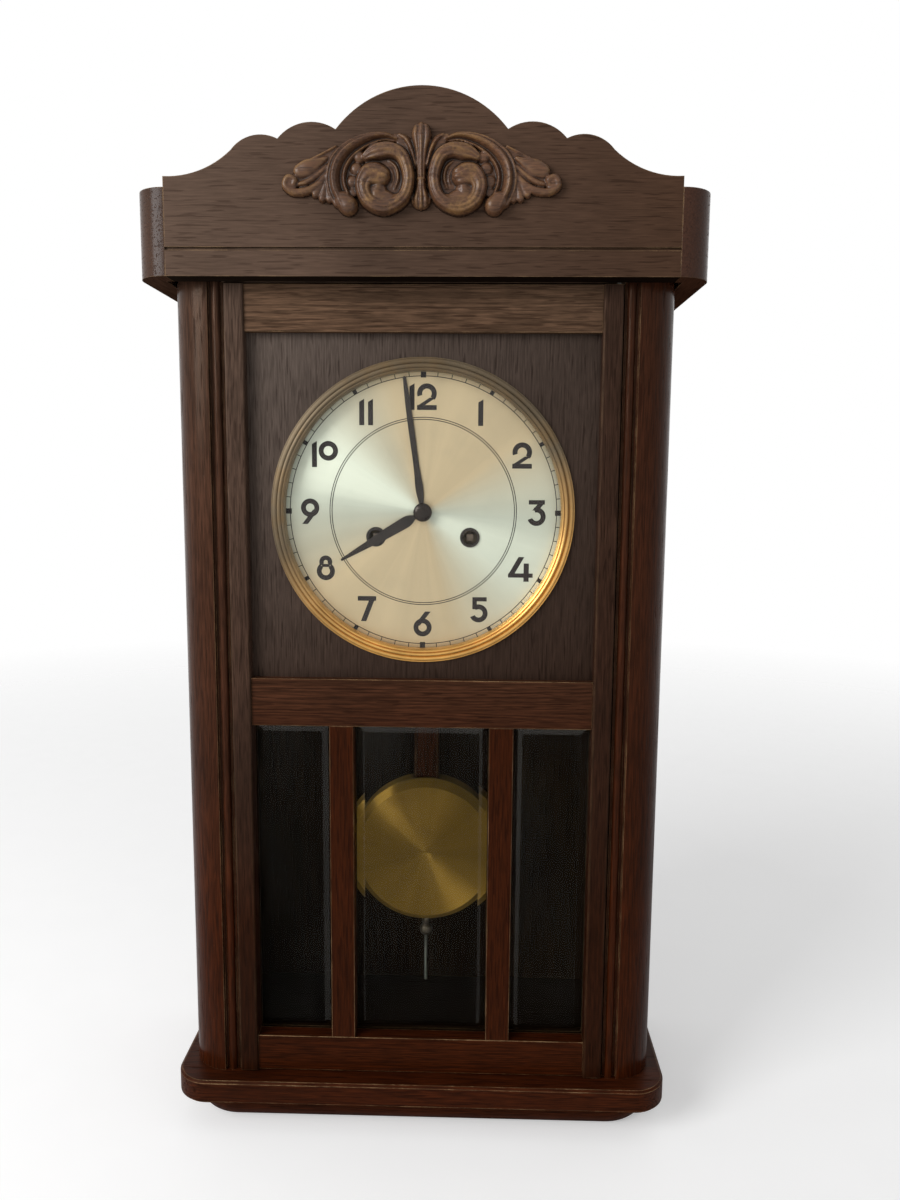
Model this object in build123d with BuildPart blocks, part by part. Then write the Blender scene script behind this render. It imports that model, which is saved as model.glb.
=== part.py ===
"""Pendulum wall clock: a wooden box case with a glazed door, an eight-day striking movement and a pendulum.

The wall is the plane Y = 0 and the clock faces -Y. The origin is the hole of the hanger plate. Depths are
distances from the wall, heights are along Z, and the movement is laid out from the dial centre.
"""
import os
from math import asin, atan2, cos, hypot, pi, radians, sin, sqrt

from build123d import *

os.makedirs("parts", exist_ok=True)

# Clearances
shaft_slip = 0.05
free_gap = 0.3
door_gap = 1.0
rod_slip = 0.25

# Main heights and widths of the case
plinth_below_dial = 379.0
case_width = 313.0
post_width = 33.5
door_front = 140.0
side_thickness = 12.0
post_setback = 1.0

# Corner posts: groove, bead, groove, then a quarter column
groove_width = 1.5
groove_depth = 3.2
bead_width = 5.5
column_offset = 9.0
post_back_wood = 1.5

# Back board, header, top board and hanger
hanger_thickness = 2.5
hanger_hole_radius = 5.0
hanger_width = 32.0
hanger_height = 46.0
hanger_hole_drop = 9.0
hanger_below_top = 10.4
hanger_corner = 8.0
nail_pocket_radius = 9.0
nail_pocket_depth = 5.0
back_thickness = 7.0
header_thickness = 18.0
header_height = 36.0
top_thickness = 8.0

# Plinth and base moulding
plinth_thickness = 16.0
plinth_overhang = 8.5
plinth_front = 12.0
plinth_corner = 22.0
plinth_edge = 1.5
base_thickness = 21.5
base_inset_side = 7.0
base_inset_front = 15.0
base_corner = 32.0
base_ovolo = 10.0

# Crown: fascia with the pediment, rounded returns and the cut line
crown_thickness = 16.0
crown_height = 50.5
crown_overhang = 15.0
crown_corner = 19.5
crown_line_height = 15.0
crown_line_depth = 1.5
crown_line_width = 1.6

# Pediment outline: widths from the middle and heights above the crown's underside
pediment_end_height = 56.5
sweep_middle = (130.0, 59.8)
sweep_top = (111.5, 71.0)
outer_lobe_peak = (97.0, 79.3)
outer_notch = (84.0, 77.2)
inner_lobe_peak = (66.0, 86.3)
inner_notch = (50.0, 82.3)
dome_shoulder = (27.7, 99.9)
dome_height = 106.2

# Applied carving, measured from its middle on the crown
carving_base = 5.0
carving_relief = 9.0
carving_stem_relief = 7.0
carving_scroll = (20.5, -0.5)
carving_scroll_size = (17.3, 20.2)
carving_band = (29.5, 3.0)
carving_band_size = (24.9, 23.0)
carving_bulb = (43.4, -15.0)
carving_bulb_radius = 6.2
carving_leaf = (61.0, -0.5)
carving_leaf_size = (18.0, 8.0)
carving_leaf_tilt = 24.0
carving_tip = (76.0, -3.5)
carving_tip_radius = 5.6
carving_frond = (60.5, -9.5)
carving_frond_radius = 4.8
carving_fan = (0.0, 26.0)
carving_fan_size = (8.0, 6.0)
carving_stem_width = 9.0
carving_foot = (0.0, -15.0)
carving_foot_size = (10.5, 5.5)
carving_above_crown = 53.6

# Door frame
door_thickness = 20.0
stile_width = 12.2
stile_round = 1.5
rail_setback = 2.0
top_rail_height = 28.3
middle_rail_height = 31.0
bottom_rail_height = 24.3
mullion_width = 15.5
middle_pane_width = 88.0
panel_depth = 8.0
panel_thickness = 5.0
panel_tongue = 3.5
groove_play = 0.2
pane_setback = 12.5
pane_thickness = 3.0
pane_bevel = 6.0
pane_bevel_depth = 1.2
pane_cover = 3.5
bead_strip = 4.0
pivot_inset = 3.0
pivot_radius = 1.5
pivot_reach = 8.0
pivot_seat = 10.0

# Catch at the left of the door
catch_stud_radius = 2.0
catch_stud_length = 12.0
catch_leaf = 0.8
catch_leaf_reach = 5.0
catch_plate_width = 16.0
catch_plate_height = 16.0
catch_plate_thickness = 1.5
catch_below_dial = 122.0

# Bezel and dial glass
bezel_margin = 13.8
bezel_head_room = 14.1
bezel_foot_room = 11.0
bezel_width = 8.3
bezel_height = 6.0
bezel_lip = 1.2
bezel_shoulder = 2.4
bezel_sleeve = 1.0
glass_thickness = 2.0
glass_setback = 2.5

# Dial, grommets and hands
dial_gap = 1.5
dial_thickness = 0.8
dial_margin = 1.0
dial_centre_hole = 4.5
dial_foot_radius = 1.5
dial_feet = ((-38.0, 48.0), (38.0, 48.0), (0.0, -43.0))
winding_spread = 30.1
winding_drop = 16.0
grommet_radius = 6.3
grommet_hole = 4.5
grommet_flange = 0.8
grommet_sleeve = 0.7
hand_thickness = 0.8
hour_hand_length = 61.0
minute_hand_inset = 2.4
hour_hand_gap = 2.2
minute_hand_gap = 4.2
hour_hub_radius = 5.0
minute_hub_radius = 4.5
hand_nut_radius = 5.9
hand_nut_height = 2.2
hand_nut_flat = 3.2
hand_nut_edge = 0.8
minutes_past = 58.67
hours_past = 7

# Hand outlines: half widths, from the root to the tip, at shares of the hand's length
hour_root_half = 1.25
hour_neck_half = 1.3
hour_shoulder_half = 2.6
hour_swell_half = 3.5
hour_belly_half = 3.55
hour_middle_half = 3.15
hour_taper_half = 2.35
hour_point_half = 1.3
hour_tip_half = 0.85
hour_outline = (
    (hour_root_half, 0.0),
    (hour_neck_half, 0.1),
    (hour_shoulder_half, 0.14),
    (hour_swell_half, 0.19),
    (hour_belly_half, 0.25),
    (hour_middle_half, 0.46),
    (hour_taper_half, 0.63),
    (hour_point_half, 0.88),
    (hour_tip_half, 0.97),
)
minute_root_half = 1.45
minute_neck_half = 1.5
minute_belly_half = 2.4
minute_swell_half = 2.1
minute_middle_half = 1.8
minute_point_half = 1.3
minute_tip_half = 1.0
minute_outline = (
    (minute_root_half, 0.0),
    (minute_neck_half, 0.07),
    (minute_belly_half, 0.16),
    (minute_swell_half, 0.26),
    (minute_middle_half, 0.53),
    (minute_point_half, 0.91),
    (minute_tip_half, 0.97),
)

# Movement plates and pillars
motion_room = 12.7
plate_thickness = 1.6
plate_spacing = 38.0
plate_half_width = 56.0
plate_above = 62.0
plate_below = 48.0
plate_corner = 6.0
pillar_radius = 3.0
pillar_inset = 6.0
bracket_thickness = 2.0
bracket_width = 12.0
bracket_offset = 44.0
bracket_drop = 60.0

# Wheels: addendum and dedendum are in modules, tooth widths in shares of half the pitch
wheel_addendum = 0.95
wheel_dedendum = 1.15
wheel_root = 0.75
leaf_addendum = 0.8
leaf_dedendum = 1.25
leaf_root = 0.55
leaf_tip = 0.22
mesh_play = 0.05
wheel_thickness = 1.2
wheel_hub = 3.0
spoke_width = 2.0
rim_width = 1.6
rim_steps = 4
spokes = 4
stout_arbor = 1.2
fine_arbor = 0.8

# Tooth counts and modules
barrel_teeth = 60
barrel_module = 0.8
intermediate_leaves = 10
intermediate_teeth = 54
intermediate_module = 0.64
centre_leaves = 10
centre_teeth = 77
centre_module = 0.46
third_leaves = 7
third_teeth = 70
third_module = 0.42
escape_leaves = 7
escape_teeth = 30
cannon_leaves = 12
minute_wheel_teeth = 36
minute_wheel_leaves = 10
hour_wheel_teeth = 40
motion_module = 0.5
pin_wheel_leaves = 10
pin_wheel_teeth = 56
pin_wheel_module = 0.55
warning_leaves = 8
warning_teeth = 48
warning_module = 0.45
fly_leaves = 7

# Depths of the wheels behind the front plate
great_wheel_behind = 0.6
great_wheel_thickness = 2.0
barrel_radius = 21.5
barrel_length = 16.3
layer_b_behind = 24.6
layer_c_behind = 28.0
layer_d_behind = 31.0
layer_e_behind = 34.8
pinion_overlap = 0.9

# Motion works
motion_gap = 0.6
motion_wheel_thickness = 1.4
cannon_length = 2.4
cannon_pipe_radius = 2.0
hour_pipe_radius = 3.0

# Winding arbors
winding_arbor_radius = 3.0
winding_pivot_radius = 2.0
winding_square = 4.2
winding_square_gap = 1.2
winding_shoulder = 3.0

# Escapement and strike parts
third_bearing = 105.0
pin_wheel_bearing = 102.0
warning_bearing = 41.0
fly_bearing = 106.0
minute_wheel_bearing = 45.0
escape_radius = 13.5
escape_tooth_depth = 2.4
escape_tooth_lean = 0.1
anchor_height = 18.9
anchor_clearance = 1.3
anchor_spread = 45.0
anchor_hub = 3.0
anchor_arm = 2.6
anchor_thickness = 2.0
anchor_hole = 4.0
lift_pins = 8
lift_pin_radius = 0.7
lift_pin_length = 2.5
fly_radius = 8.0
fly_vane = 0.8
fly_length = 12.0
fly_behind = 18.0
hammer_at = (-49.0, 30.0)
hammer_arbor = 1.5
hammer_tail_width = 2.4
hammer_head_radius = 4.0
hammer_head_length = 10.0
hammer_stem = 2.0
hammer_gap = 1.5
hammer_tail_gap = 0.6
hammer_height = 52.0

# Gong on the back board
gong_rods_at = (-76.0, -90.0)
gong_rod_radius = 2.0
gong_rod_length = 190.0
gong_from_back = 33.0
gong_block_height = 22.0
gong_block_margin = 8.0
gong_above_dial = 62.0
gong_seat = 10.0

# Pendulum
pendulum_behind = 8.8
crutch_thickness = 1.2
crutch_behind = 2.8
crutch_width = 3.0
crutch_drop = 35.0
crutch_pin_radius = 0.8
crutch_slot_height = 8.0
crutch_slot_gap = 0.2
cock_width = 12.0
cock_height = 5.0
cock_above_pivot = 4.0
cock_tab = 1.5
cock_tab_behind = 5.8
cock_overhang = 2.0
spring_thickness = 0.3
spring_width = 6.0
spring_length = 12.0
chop_width = 5.0
chop_height = 6.0
hook_width = 8.0
hook_thickness = 3.0
hook_length = 30.0
hook_tang = 15.0
pendulum_rod_width = 18.0
pendulum_rod_thickness = 7.0
pendulum_rod_chamfer = 1.2
bob_above_plinth = 131.5
bob_radius = 53.5
bob_face_radius = 48.5
bob_thickness = 28.0
bob_crown = 1.6
bob_rim = 13.0
bob_foot = 8.5
bob_travel = 6.0
rating_screw_radius = 1.2
rating_screw_seat = 10.0
rating_screw_tail = 35.3
rating_ball_radius = 4.6
rating_collar_radius = 2.9
rating_collar_length = 6.5

# Places worked out from the sizes above
half_case = case_width / 2
post_inner = half_case - post_width
half_door = post_inner - door_gap
stile_inner = half_door - stile_width
bezel_radius = stile_inner - bezel_margin
crown_above_dial = bezel_radius + bezel_head_room + top_rail_height + door_gap
hanger_above_dial = crown_above_dial + header_height - hanger_below_top
dial_z = -hanger_above_dial
crown_bottom = dial_z + crown_above_dial
plinth_top = dial_z - plinth_below_dial
case_top = crown_bottom + header_height
post_front = door_front - post_setback
column_x = post_inner + column_offset
column_radius = half_case - column_x
post_back = post_front - column_radius - post_back_wood
side_inner = half_case - side_thickness
back_front = hanger_thickness + back_thickness
header_back = post_front - header_thickness

door_back = door_front - door_thickness
door_bottom = plinth_top + door_gap
door_top = crown_bottom - door_gap
rail_front = door_front - rail_setback
top_rail_bottom = door_top - top_rail_height
middle_rail_top = dial_z - bezel_radius - bezel_foot_room
middle_rail_bottom = middle_rail_top - middle_rail_height
bottom_rail_top = door_bottom + bottom_rail_height
panel_front = door_front - panel_depth
panel_back = panel_front - panel_thickness
pane_front = door_front - pane_setback
pane_back = pane_front - pane_thickness
mullion_x = (middle_pane_width + mullion_width) / 2
pivot_x = half_door - pivot_inset
pivot_depth = door_front - pivot_inset

bezel_opening = bezel_radius - bezel_width
glass_front = panel_front + bezel_height - glass_setback
dial_front = panel_back - dial_gap
dial_back = dial_front - dial_thickness
dial_radius = bezel_radius - dial_margin
minute_hand_length = bezel_opening - minute_hand_inset

front_plate_front = dial_back - motion_room
front_plate_back = front_plate_front - plate_thickness
back_plate_front = front_plate_back - plate_spacing
back_plate_back = back_plate_front - plate_thickness
pendulum_depth = back_plate_back - pendulum_behind
layer_b = front_plate_back - layer_b_behind
layer_c = front_plate_back - layer_c_behind
layer_d = front_plate_back - layer_d_behind
layer_e = front_plate_back - layer_e_behind
great_wheel_front = front_plate_back - great_wheel_behind
barrel_front = great_wheel_front - great_wheel_thickness
barrel_back = barrel_front - barrel_length
arbor_shoulder = barrel_back - winding_shoulder
fly_back = front_plate_back - fly_behind
cannon_back = front_plate_front + motion_gap
minute_stud_front = dial_back - motion_room / 2
hour_hand_back = dial_front + hour_hand_gap
hour_hand_front = hour_hand_back + hand_thickness
minute_hand_back = dial_front + minute_hand_gap
minute_hand_front = minute_hand_back + hand_thickness
gong_depth = back_front + gong_from_back
spring_back = pendulum_depth - spring_width / 2
spring_front = pendulum_depth + spring_width / 2
hook_back = pendulum_depth - hook_thickness / 2
hook_front = pendulum_depth + hook_thickness / 2
cock_tab_front = back_plate_back - cock_tab_behind + cock_tab
cock_tab_back = back_plate_back - cock_tab_behind
cock_back = spring_back - cock_overhang
bob_z = plinth_top + bob_above_plinth


def polar(start, bearing, reach):
    """The point at a reach from a start, on a bearing in degrees from the right."""
    return (start[0] + reach * cos(radians(bearing)), start[1] + reach * sin(radians(bearing)))


def apex(first, first_reach, second, second_reach):
    """The point at given reaches from two points, on the right of the line from the first to the second."""
    span = hypot(second[0] - first[0], second[1] - first[1])
    along = (first_reach**2 - second_reach**2 + span**2) / (2 * span)
    off = sqrt(first_reach**2 - along**2)
    ux = (second[0] - first[0]) / span
    uz = (second[1] - first[1]) / span
    return (first[0] + along * ux + off * uz, first[1] + along * uz - off * ux)


def centres(teeth, leaves, module):
    """Distance between the axes of a wheel and its pinion."""
    return module * (teeth + leaves) / 2 + mesh_play


def mesh(driver, driver_teeth, driver_phase, follower, follower_teeth):
    """Phase of a follower whose gap faces the driver's tooth on the line between their axes."""
    line = atan2(follower[1] - driver[1], follower[0] - driver[0])
    lag = (driver_phase - line) * driver_teeth / follower_teeth
    return line + pi - lag + pi / follower_teeth


def wheel_points(teeth, module, phase):
    """Corners of a wheel with pointed teeth standing on a flat root."""
    root = root_radius(teeth, module)
    tip = module * (teeth / 2 + wheel_addendum)
    half = wheel_root * pi / teeth
    corners = ((root, -half), (tip, 0.0), (root, half))
    return ring_points(corners, teeth, phase)


def pinion_points(leaves, module, phase):
    """Corners of a pinion with narrow blunt leaves."""
    root = module * (leaves / 2 - leaf_dedendum)
    tip = module * (leaves / 2 + leaf_addendum)
    half_root = leaf_root * pi / leaves
    half_tip = leaf_tip * pi / leaves
    corners = ((root, -half_root), (tip, -half_tip), (tip, half_tip), (root, half_root))
    return ring_points(corners, leaves, phase)


def ring_points(corners, count, phase):
    """One tooth's corners, given as radius and angle, repeated round a circle."""
    points = []
    for tooth in range(count):
        turn = phase + 2 * pi * tooth / count
        points += [(radius * cos(turn + angle), radius * sin(turn + angle)) for radius, angle in corners]
    return points


def root_radius(teeth, module):
    """Radius at the foot of a wheel's teeth."""
    return module * (teeth / 2 - wheel_dedendum)


def window_points(rim):
    """Corners of one opening between two spokes, its outer side following the rim."""
    sector = 2 * pi / spokes
    inner = asin(spoke_width / 2 / wheel_hub)
    outer = asin(spoke_width / 2 / rim)
    step = (sector - 2 * outer) / rim_steps
    corners = [(wheel_hub, inner)]
    corners += [(rim, outer + step * count) for count in range(rim_steps + 1)]
    corners.append((wheel_hub, sector - inner))
    return [(radius * cos(angle), radius * sin(angle)) for radius, angle in corners]


def facing(depth, place=(0.0, 0.0), turn=0.0):
    """A plane parallel to the dial, at a depth from the wall and a place from the dial centre, turned."""
    across = (cos(radians(turn)), 0, sin(radians(turn)))
    return Plane(origin=(place[0], -depth, dial_z + place[1]), x_dir=across, z_dir=(0, -1, 0))


def block(left, right, back, front, bottom, top, mode=Mode.ADD):
    """A square-edged block between two widths, two depths and two heights."""
    with Locations(((left + right) / 2, -(back + front) / 2, (bottom + top) / 2)):
        Box(right - left, front - back, top - bottom, mode=mode)


def bar(place, radius, back, front, mode=Mode.ADD):
    """A round bar along the depth, centred on a place beside the dial centre."""
    with Locations(Location((place[0], -(back + front) / 2, dial_z + place[1]), (90, 0, 0))):
        Cylinder(radius, front - back, mode=mode)


def upright(x, depth, radius, bottom, top, mode=Mode.ADD):
    """A round upright bar."""
    with Locations((x, -depth, (bottom + top) / 2)):
        Cylinder(radius, top - bottom, mode=mode)


def save(piece, label):
    """Name a finished piece and write it."""
    piece.part.label = label
    export_step(piece.part, f"parts/{label}.step")


# Case: corner posts, sides, back, header and top
with BuildPart() as corner_posts:
    with BuildSketch(Plane.XY.offset(plinth_top)):
        with BuildLine():
            groove_y = -post_front + groove_depth
            bead_start = post_inner + groove_width
            bead_end = bead_start + bead_width
            turn = column_radius * (1 - cos(radians(45)))
            Polyline(
                (half_case, -post_front + column_radius),
                (half_case, -post_back),
                (post_inner, -post_back),
                (post_inner, groove_y),
                (bead_start, groove_y),
            )
            ThreePointArc(
                (bead_start, groove_y),
                ((bead_start + bead_end) / 2, groove_y - bead_width / 2),
                (bead_end, groove_y),
            )
            Polyline((bead_end, groove_y), (column_x, groove_y), (column_x, -post_front))
            ThreePointArc(
                (column_x, -post_front),
                (half_case - turn, -post_front + turn),
                (half_case, -post_front + column_radius),
            )
        make_face()
        mirror(about=Plane.YZ)
    extrude(amount=case_top - plinth_top)
save(corner_posts, "corner_posts")

with BuildPart() as case_sides:
    block(side_inner, half_case, 0, post_back, plinth_top, case_top)
    block(-half_case, -side_inner, 0, post_back, plinth_top, case_top)
save(case_sides, "case_sides")

with BuildPart() as back_board:
    block(-side_inner, side_inner, hanger_thickness, back_front, plinth_top, case_top)
    pocket_place = (0, hanger_above_dial)
    bar(pocket_place, nail_pocket_radius, 0, hanger_thickness + nail_pocket_depth, Mode.SUBTRACT)
save(back_board, "back_board")

with BuildPart() as hanger_plate:
    with BuildSketch(facing(0, (0, hanger_above_dial))):
        with Locations((0, -hanger_height / 2 + hanger_hole_drop)):
            RectangleRounded(hanger_width, hanger_height, hanger_corner)
        Circle(hanger_hole_radius, mode=Mode.SUBTRACT)
    extrude(amount=hanger_thickness)
save(hanger_plate, "hanger_plate")

with BuildPart() as header_rail:
    block(-post_inner, post_inner, header_back, post_front, crown_bottom, case_top)
    upright(pivot_x, pivot_depth, pivot_radius, crown_bottom, crown_bottom + pivot_seat, Mode.SUBTRACT)
save(header_rail, "header_rail")

with BuildPart() as top_board:
    block(-half_case, half_case, 0, post_front, case_top, case_top + top_thickness)
save(top_board, "top_board")

# Plinth and base moulding
plinth_half = half_case + plinth_overhang
plinth_reach = door_front + plinth_front
base_half = plinth_half - base_inset_side
base_reach = plinth_reach - base_inset_front
with BuildPart() as plinth:
    with BuildSketch(Plane.XY.offset(plinth_top - plinth_thickness)) as plinth_plan:
        with Locations((0, -plinth_reach / 2)):
            Rectangle(2 * plinth_half, plinth_reach)
        fillet(plinth_plan.vertices().group_by(Axis.Y)[0], plinth_corner)
    extrude(amount=plinth_thickness)
    for level in (0, -1):
        rim = plinth.edges().group_by(Axis.Z)[level].filter_by(lambda edge: edge.center().Y < -1)
        chamfer(rim, plinth_edge)
    upright(pivot_x, pivot_depth, pivot_radius, plinth_top - pivot_seat, plinth_top, Mode.SUBTRACT)
save(plinth, "plinth")

with BuildPart() as base_moulding:
    with BuildSketch(Plane.XY.offset(plinth_top - plinth_thickness - base_thickness)) as base_plan:
        with Locations((0, -base_reach / 2)):
            Rectangle(2 * base_half, base_reach)
        fillet(base_plan.vertices().group_by(Axis.Y)[0], base_corner)
    extrude(amount=base_thickness)
    rim = base_moulding.edges().group_by(Axis.Z)[0].filter_by(lambda edge: edge.center().Y < -1)
    fillet(rim, base_ovolo)
save(base_moulding, "base_moulding")

# Crown: fascia with the scalloped pediment, and its rounded returns
crown_front_depth = post_front + crown_thickness
crown_half = half_case + crown_overhang
fascia_half = crown_half - crown_corner
with BuildPart() as crown_front:
    with BuildSketch(facing(post_front, (0, crown_above_dial))):
        with BuildLine():
            Polyline((0, dome_height), (0, 0), (fascia_half, 0), (fascia_half, pediment_end_height))
            ThreePointArc((fascia_half, pediment_end_height), sweep_middle, sweep_top)
            ThreePointArc(sweep_top, outer_lobe_peak, outer_notch)
            ThreePointArc(outer_notch, inner_lobe_peak, inner_notch)
            ThreePointArc(inner_notch, dome_shoulder, (0, dome_height))
        make_face()
        mirror(about=Plane.YZ)
    extrude(amount=crown_thickness)
    line_z = crown_bottom + crown_line_height
    block(
        -fascia_half,
        fascia_half,
        crown_front_depth - crown_line_depth,
        crown_front_depth,
        line_z,
        line_z + crown_line_width,
        Mode.SUBTRACT,
    )
save(crown_front, "crown_front")

with BuildPart() as crown_returns:
    with BuildSketch(Plane.XY.offset(crown_bottom)):
        with BuildLine():
            turn = crown_corner * (1 - cos(radians(45)))
            Polyline(
                (fascia_half, -crown_front_depth),
                (fascia_half, -post_front),
                (half_case, -post_front),
                (half_case, 0),
                (crown_half, 0),
                (crown_half, -crown_front_depth + crown_corner),
            )
            ThreePointArc(
                (crown_half, -crown_front_depth + crown_corner),
                (crown_half - turn, -crown_front_depth + turn),
                (fascia_half, -crown_front_depth),
            )
        make_face()
        mirror(about=Plane.YZ)
    extrude(amount=crown_height)
save(crown_returns, "crown_returns")

# Applied carving: leaves and bands as one slab, with the scrolls and the stem standing higher
carving_place = (0, crown_above_dial + carving_above_crown)
with BuildPart() as crown_carving:
    with BuildSketch(facing(crown_front_depth, carving_place)):
        with Locations(carving_band):
            Ellipse(*carving_band_size)
        with Locations(carving_bulb):
            Circle(carving_bulb_radius)
        with Locations(carving_leaf):
            Ellipse(*carving_leaf_size, rotation=-carving_leaf_tilt)
        with Locations(carving_tip):
            Circle(carving_tip_radius)
        with Locations(carving_frond):
            Circle(carving_frond_radius)
        mirror(about=Plane.YZ)
    extrude(amount=carving_base)
    with BuildSketch(facing(crown_front_depth, carving_place)):
        with Locations(carving_scroll):
            Ellipse(*carving_scroll_size)
        mirror(about=Plane.YZ)
    extrude(amount=carving_relief)
    with BuildSketch(facing(crown_front_depth, carving_place)):
        with Locations((0, (carving_fan[1] + carving_foot[1]) / 2)):
            Rectangle(carving_stem_width, carving_fan[1] - carving_foot[1])
        with Locations(carving_fan):
            Ellipse(*carving_fan_size)
        with Locations(carving_foot):
            Ellipse(*carving_foot_size)
    extrude(amount=carving_stem_relief)
save(crown_carving, "crown_carving")

# Door: stiles, rails, mullions and dial panel
with BuildPart() as door_stiles:
    for side in (-1, 1):
        inner = side * stile_inner
        outer = side * half_door
        block(min(inner, outer), max(inner, outer), door_back, door_front, door_bottom, door_top)
    fillet(door_stiles.edges().filter_by(Axis.Z).group_by(Axis.Y)[0], stile_round)
    for side in (-1, 1):
        inner = side * stile_inner
        deep = side * (stile_inner + panel_tongue + groove_play)
        left = min(inner, deep)
        right = max(inner, deep)
        low = middle_rail_top - panel_tongue
        high = top_rail_bottom + panel_tongue
        block(left, right, panel_back, panel_front, low, high, Mode.SUBTRACT)
        low = bottom_rail_top - pane_cover
        high = middle_rail_bottom + pane_cover
        block(left, right, door_back, pane_front, low, high, Mode.SUBTRACT)
    for bottom in (door_bottom, door_top - pivot_reach - free_gap):
        top = bottom + pivot_reach + free_gap
        upright(pivot_x, pivot_depth, pivot_radius + shaft_slip, bottom, top, Mode.SUBTRACT)
save(door_stiles, "door_stiles")

with BuildPart() as door_top_rail:
    block(-stile_inner, stile_inner, door_back, rail_front, top_rail_bottom, door_top)
    tongue_top = top_rail_bottom + panel_tongue
    block(-stile_inner, stile_inner, panel_back, panel_front, top_rail_bottom, tongue_top, Mode.SUBTRACT)
save(door_top_rail, "door_top_rail")

with BuildPart() as door_middle_rail:
    block(-stile_inner, stile_inner, door_back, rail_front, middle_rail_bottom, middle_rail_top)
    tongue_bottom = middle_rail_top - panel_tongue
    block(-stile_inner, stile_inner, panel_back, panel_front, tongue_bottom, middle_rail_top, Mode.SUBTRACT)
    rebate = middle_rail_bottom + pane_cover
    block(-stile_inner, stile_inner, door_back, pane_front, middle_rail_bottom, rebate, Mode.SUBTRACT)
save(door_middle_rail, "door_middle_rail")

with BuildPart() as door_bottom_rail:
    block(-stile_inner, stile_inner, door_back, rail_front, door_bottom, bottom_rail_top)
    rebate = bottom_rail_top - pane_cover
    block(-stile_inner, stile_inner, door_back, pane_front, rebate, bottom_rail_top, Mode.SUBTRACT)
save(door_bottom_rail, "door_bottom_rail")

mullion_half = mullion_width / 2
with BuildPart() as door_mullions:
    for side in (-1, 1):
        left = side * mullion_x - mullion_half
        right = side * mullion_x + mullion_half
        block(left, right, door_back, rail_front, bottom_rail_top, middle_rail_bottom)
        inner = left + pane_cover
        block(left, inner, door_back, pane_front, bottom_rail_top, middle_rail_bottom, Mode.SUBTRACT)
        inner = right - pane_cover
        block(inner, right, door_back, pane_front, bottom_rail_top, middle_rail_bottom, Mode.SUBTRACT)
save(door_mullions, "door_mullions")

with BuildPart() as dial_panel:
    panel_half = stile_inner + panel_tongue
    panel_low = middle_rail_top - panel_tongue
    panel_high = top_rail_bottom + panel_tongue
    block(-panel_half, panel_half, panel_back, panel_front, panel_low, panel_high)
    bar((0, 0), bezel_opening + bezel_sleeve + bezel_lip, panel_back, panel_front, Mode.SUBTRACT)
save(dial_panel, "dial_panel")

# Brass bezel: a shouldered outer ring, a step, an inner ring and a sleeve through the panel
with BuildPart() as bezel:
    bezel_front = panel_front + bezel_height
    sleeve_radius = bezel_opening + bezel_sleeve
    glass_back = glass_front - glass_thickness
    step = (bezel_radius + sleeve_radius) / 2
    shoulder_front = bezel_front - bezel_lip
    with BuildSketch(Plane.XY.offset(dial_z)):
        with BuildLine():
            Polyline(
                (bezel_radius, -panel_front),
                (sleeve_radius, -panel_front),
                (sleeve_radius, -panel_back),
                (bezel_opening, -panel_back),
                (bezel_opening, -glass_back),
                (sleeve_radius, -glass_back),
                (sleeve_radius, -glass_front),
                (bezel_opening, -glass_front),
                (bezel_opening, -shoulder_front),
                (sleeve_radius, -bezel_front),
                (step, -bezel_front),
                (step, -shoulder_front),
                (bezel_radius - bezel_shoulder, -shoulder_front),
                (bezel_radius, -shoulder_front + bezel_shoulder),
                close=True,
            )
        make_face()
    revolve(axis=Axis((0, 0, dial_z), (0, 1, 0)))
save(bezel, "bezel")

with BuildPart() as dial_glass:
    bar((0, 0), sleeve_radius - free_gap / 2, glass_back, glass_front)
save(dial_glass, "dial_glass")

# Three bevelled panes and the beads that hold them
pane_bottom = bottom_rail_top - pane_cover + groove_play
pane_top = middle_rail_bottom + pane_cover - groove_play
outer_left = mullion_x + mullion_half - pane_cover + groove_play
outer_right = stile_inner + panel_tongue
middle_half = middle_pane_width / 2 + pane_cover - groove_play
pane_spans = ((-outer_right, -outer_left), (-middle_half, middle_half), (outer_left, outer_right))
with BuildPart() as door_panes:
    for left, right in pane_spans:
        middle = ((left + right) / 2, (pane_bottom + pane_top) / 2 - dial_z)
        width = right - left - 2 * pane_cover
        height = pane_top - pane_bottom - 2 * pane_cover
        block(left, right, pane_back, pane_front, pane_bottom, pane_top)
        with BuildSketch(facing(pane_front, middle)):
            Rectangle(width, height)
        with BuildSketch(facing(pane_front + pane_bevel_depth, middle)):
            Rectangle(width - 2 * pane_bevel, height - 2 * pane_bevel)
        loft()
save(door_panes, "door_panes")

with BuildPart() as glazing_beads:
    for left, right in pane_spans:
        for bottom in (pane_bottom, pane_top - bead_strip):
            block(left, right, door_back, pane_back, bottom, bottom + bead_strip)
        for edge in (left, right - bead_strip):
            low = pane_bottom + bead_strip
            high = pane_top - bead_strip
            block(edge, edge + bead_strip, door_back, pane_back, low, high)
save(glazing_beads, "glazing_beads")

# Door pivots and catch
with BuildPart() as hinge_pins:
    upright(pivot_x, pivot_depth, pivot_radius, plinth_top - pivot_seat, door_bottom + pivot_reach)
    upright(pivot_x, pivot_depth, pivot_radius, door_top - pivot_reach, crown_bottom + pivot_seat)
save(hinge_pins, "hinge_pins")

catch_place = (-(half_door + stile_inner) / 2, -catch_below_dial)
with BuildPart() as catch_stud:
    bar(catch_place, catch_stud_radius, door_back - catch_stud_length, door_back)
save(catch_stud, "catch_stud")

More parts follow.
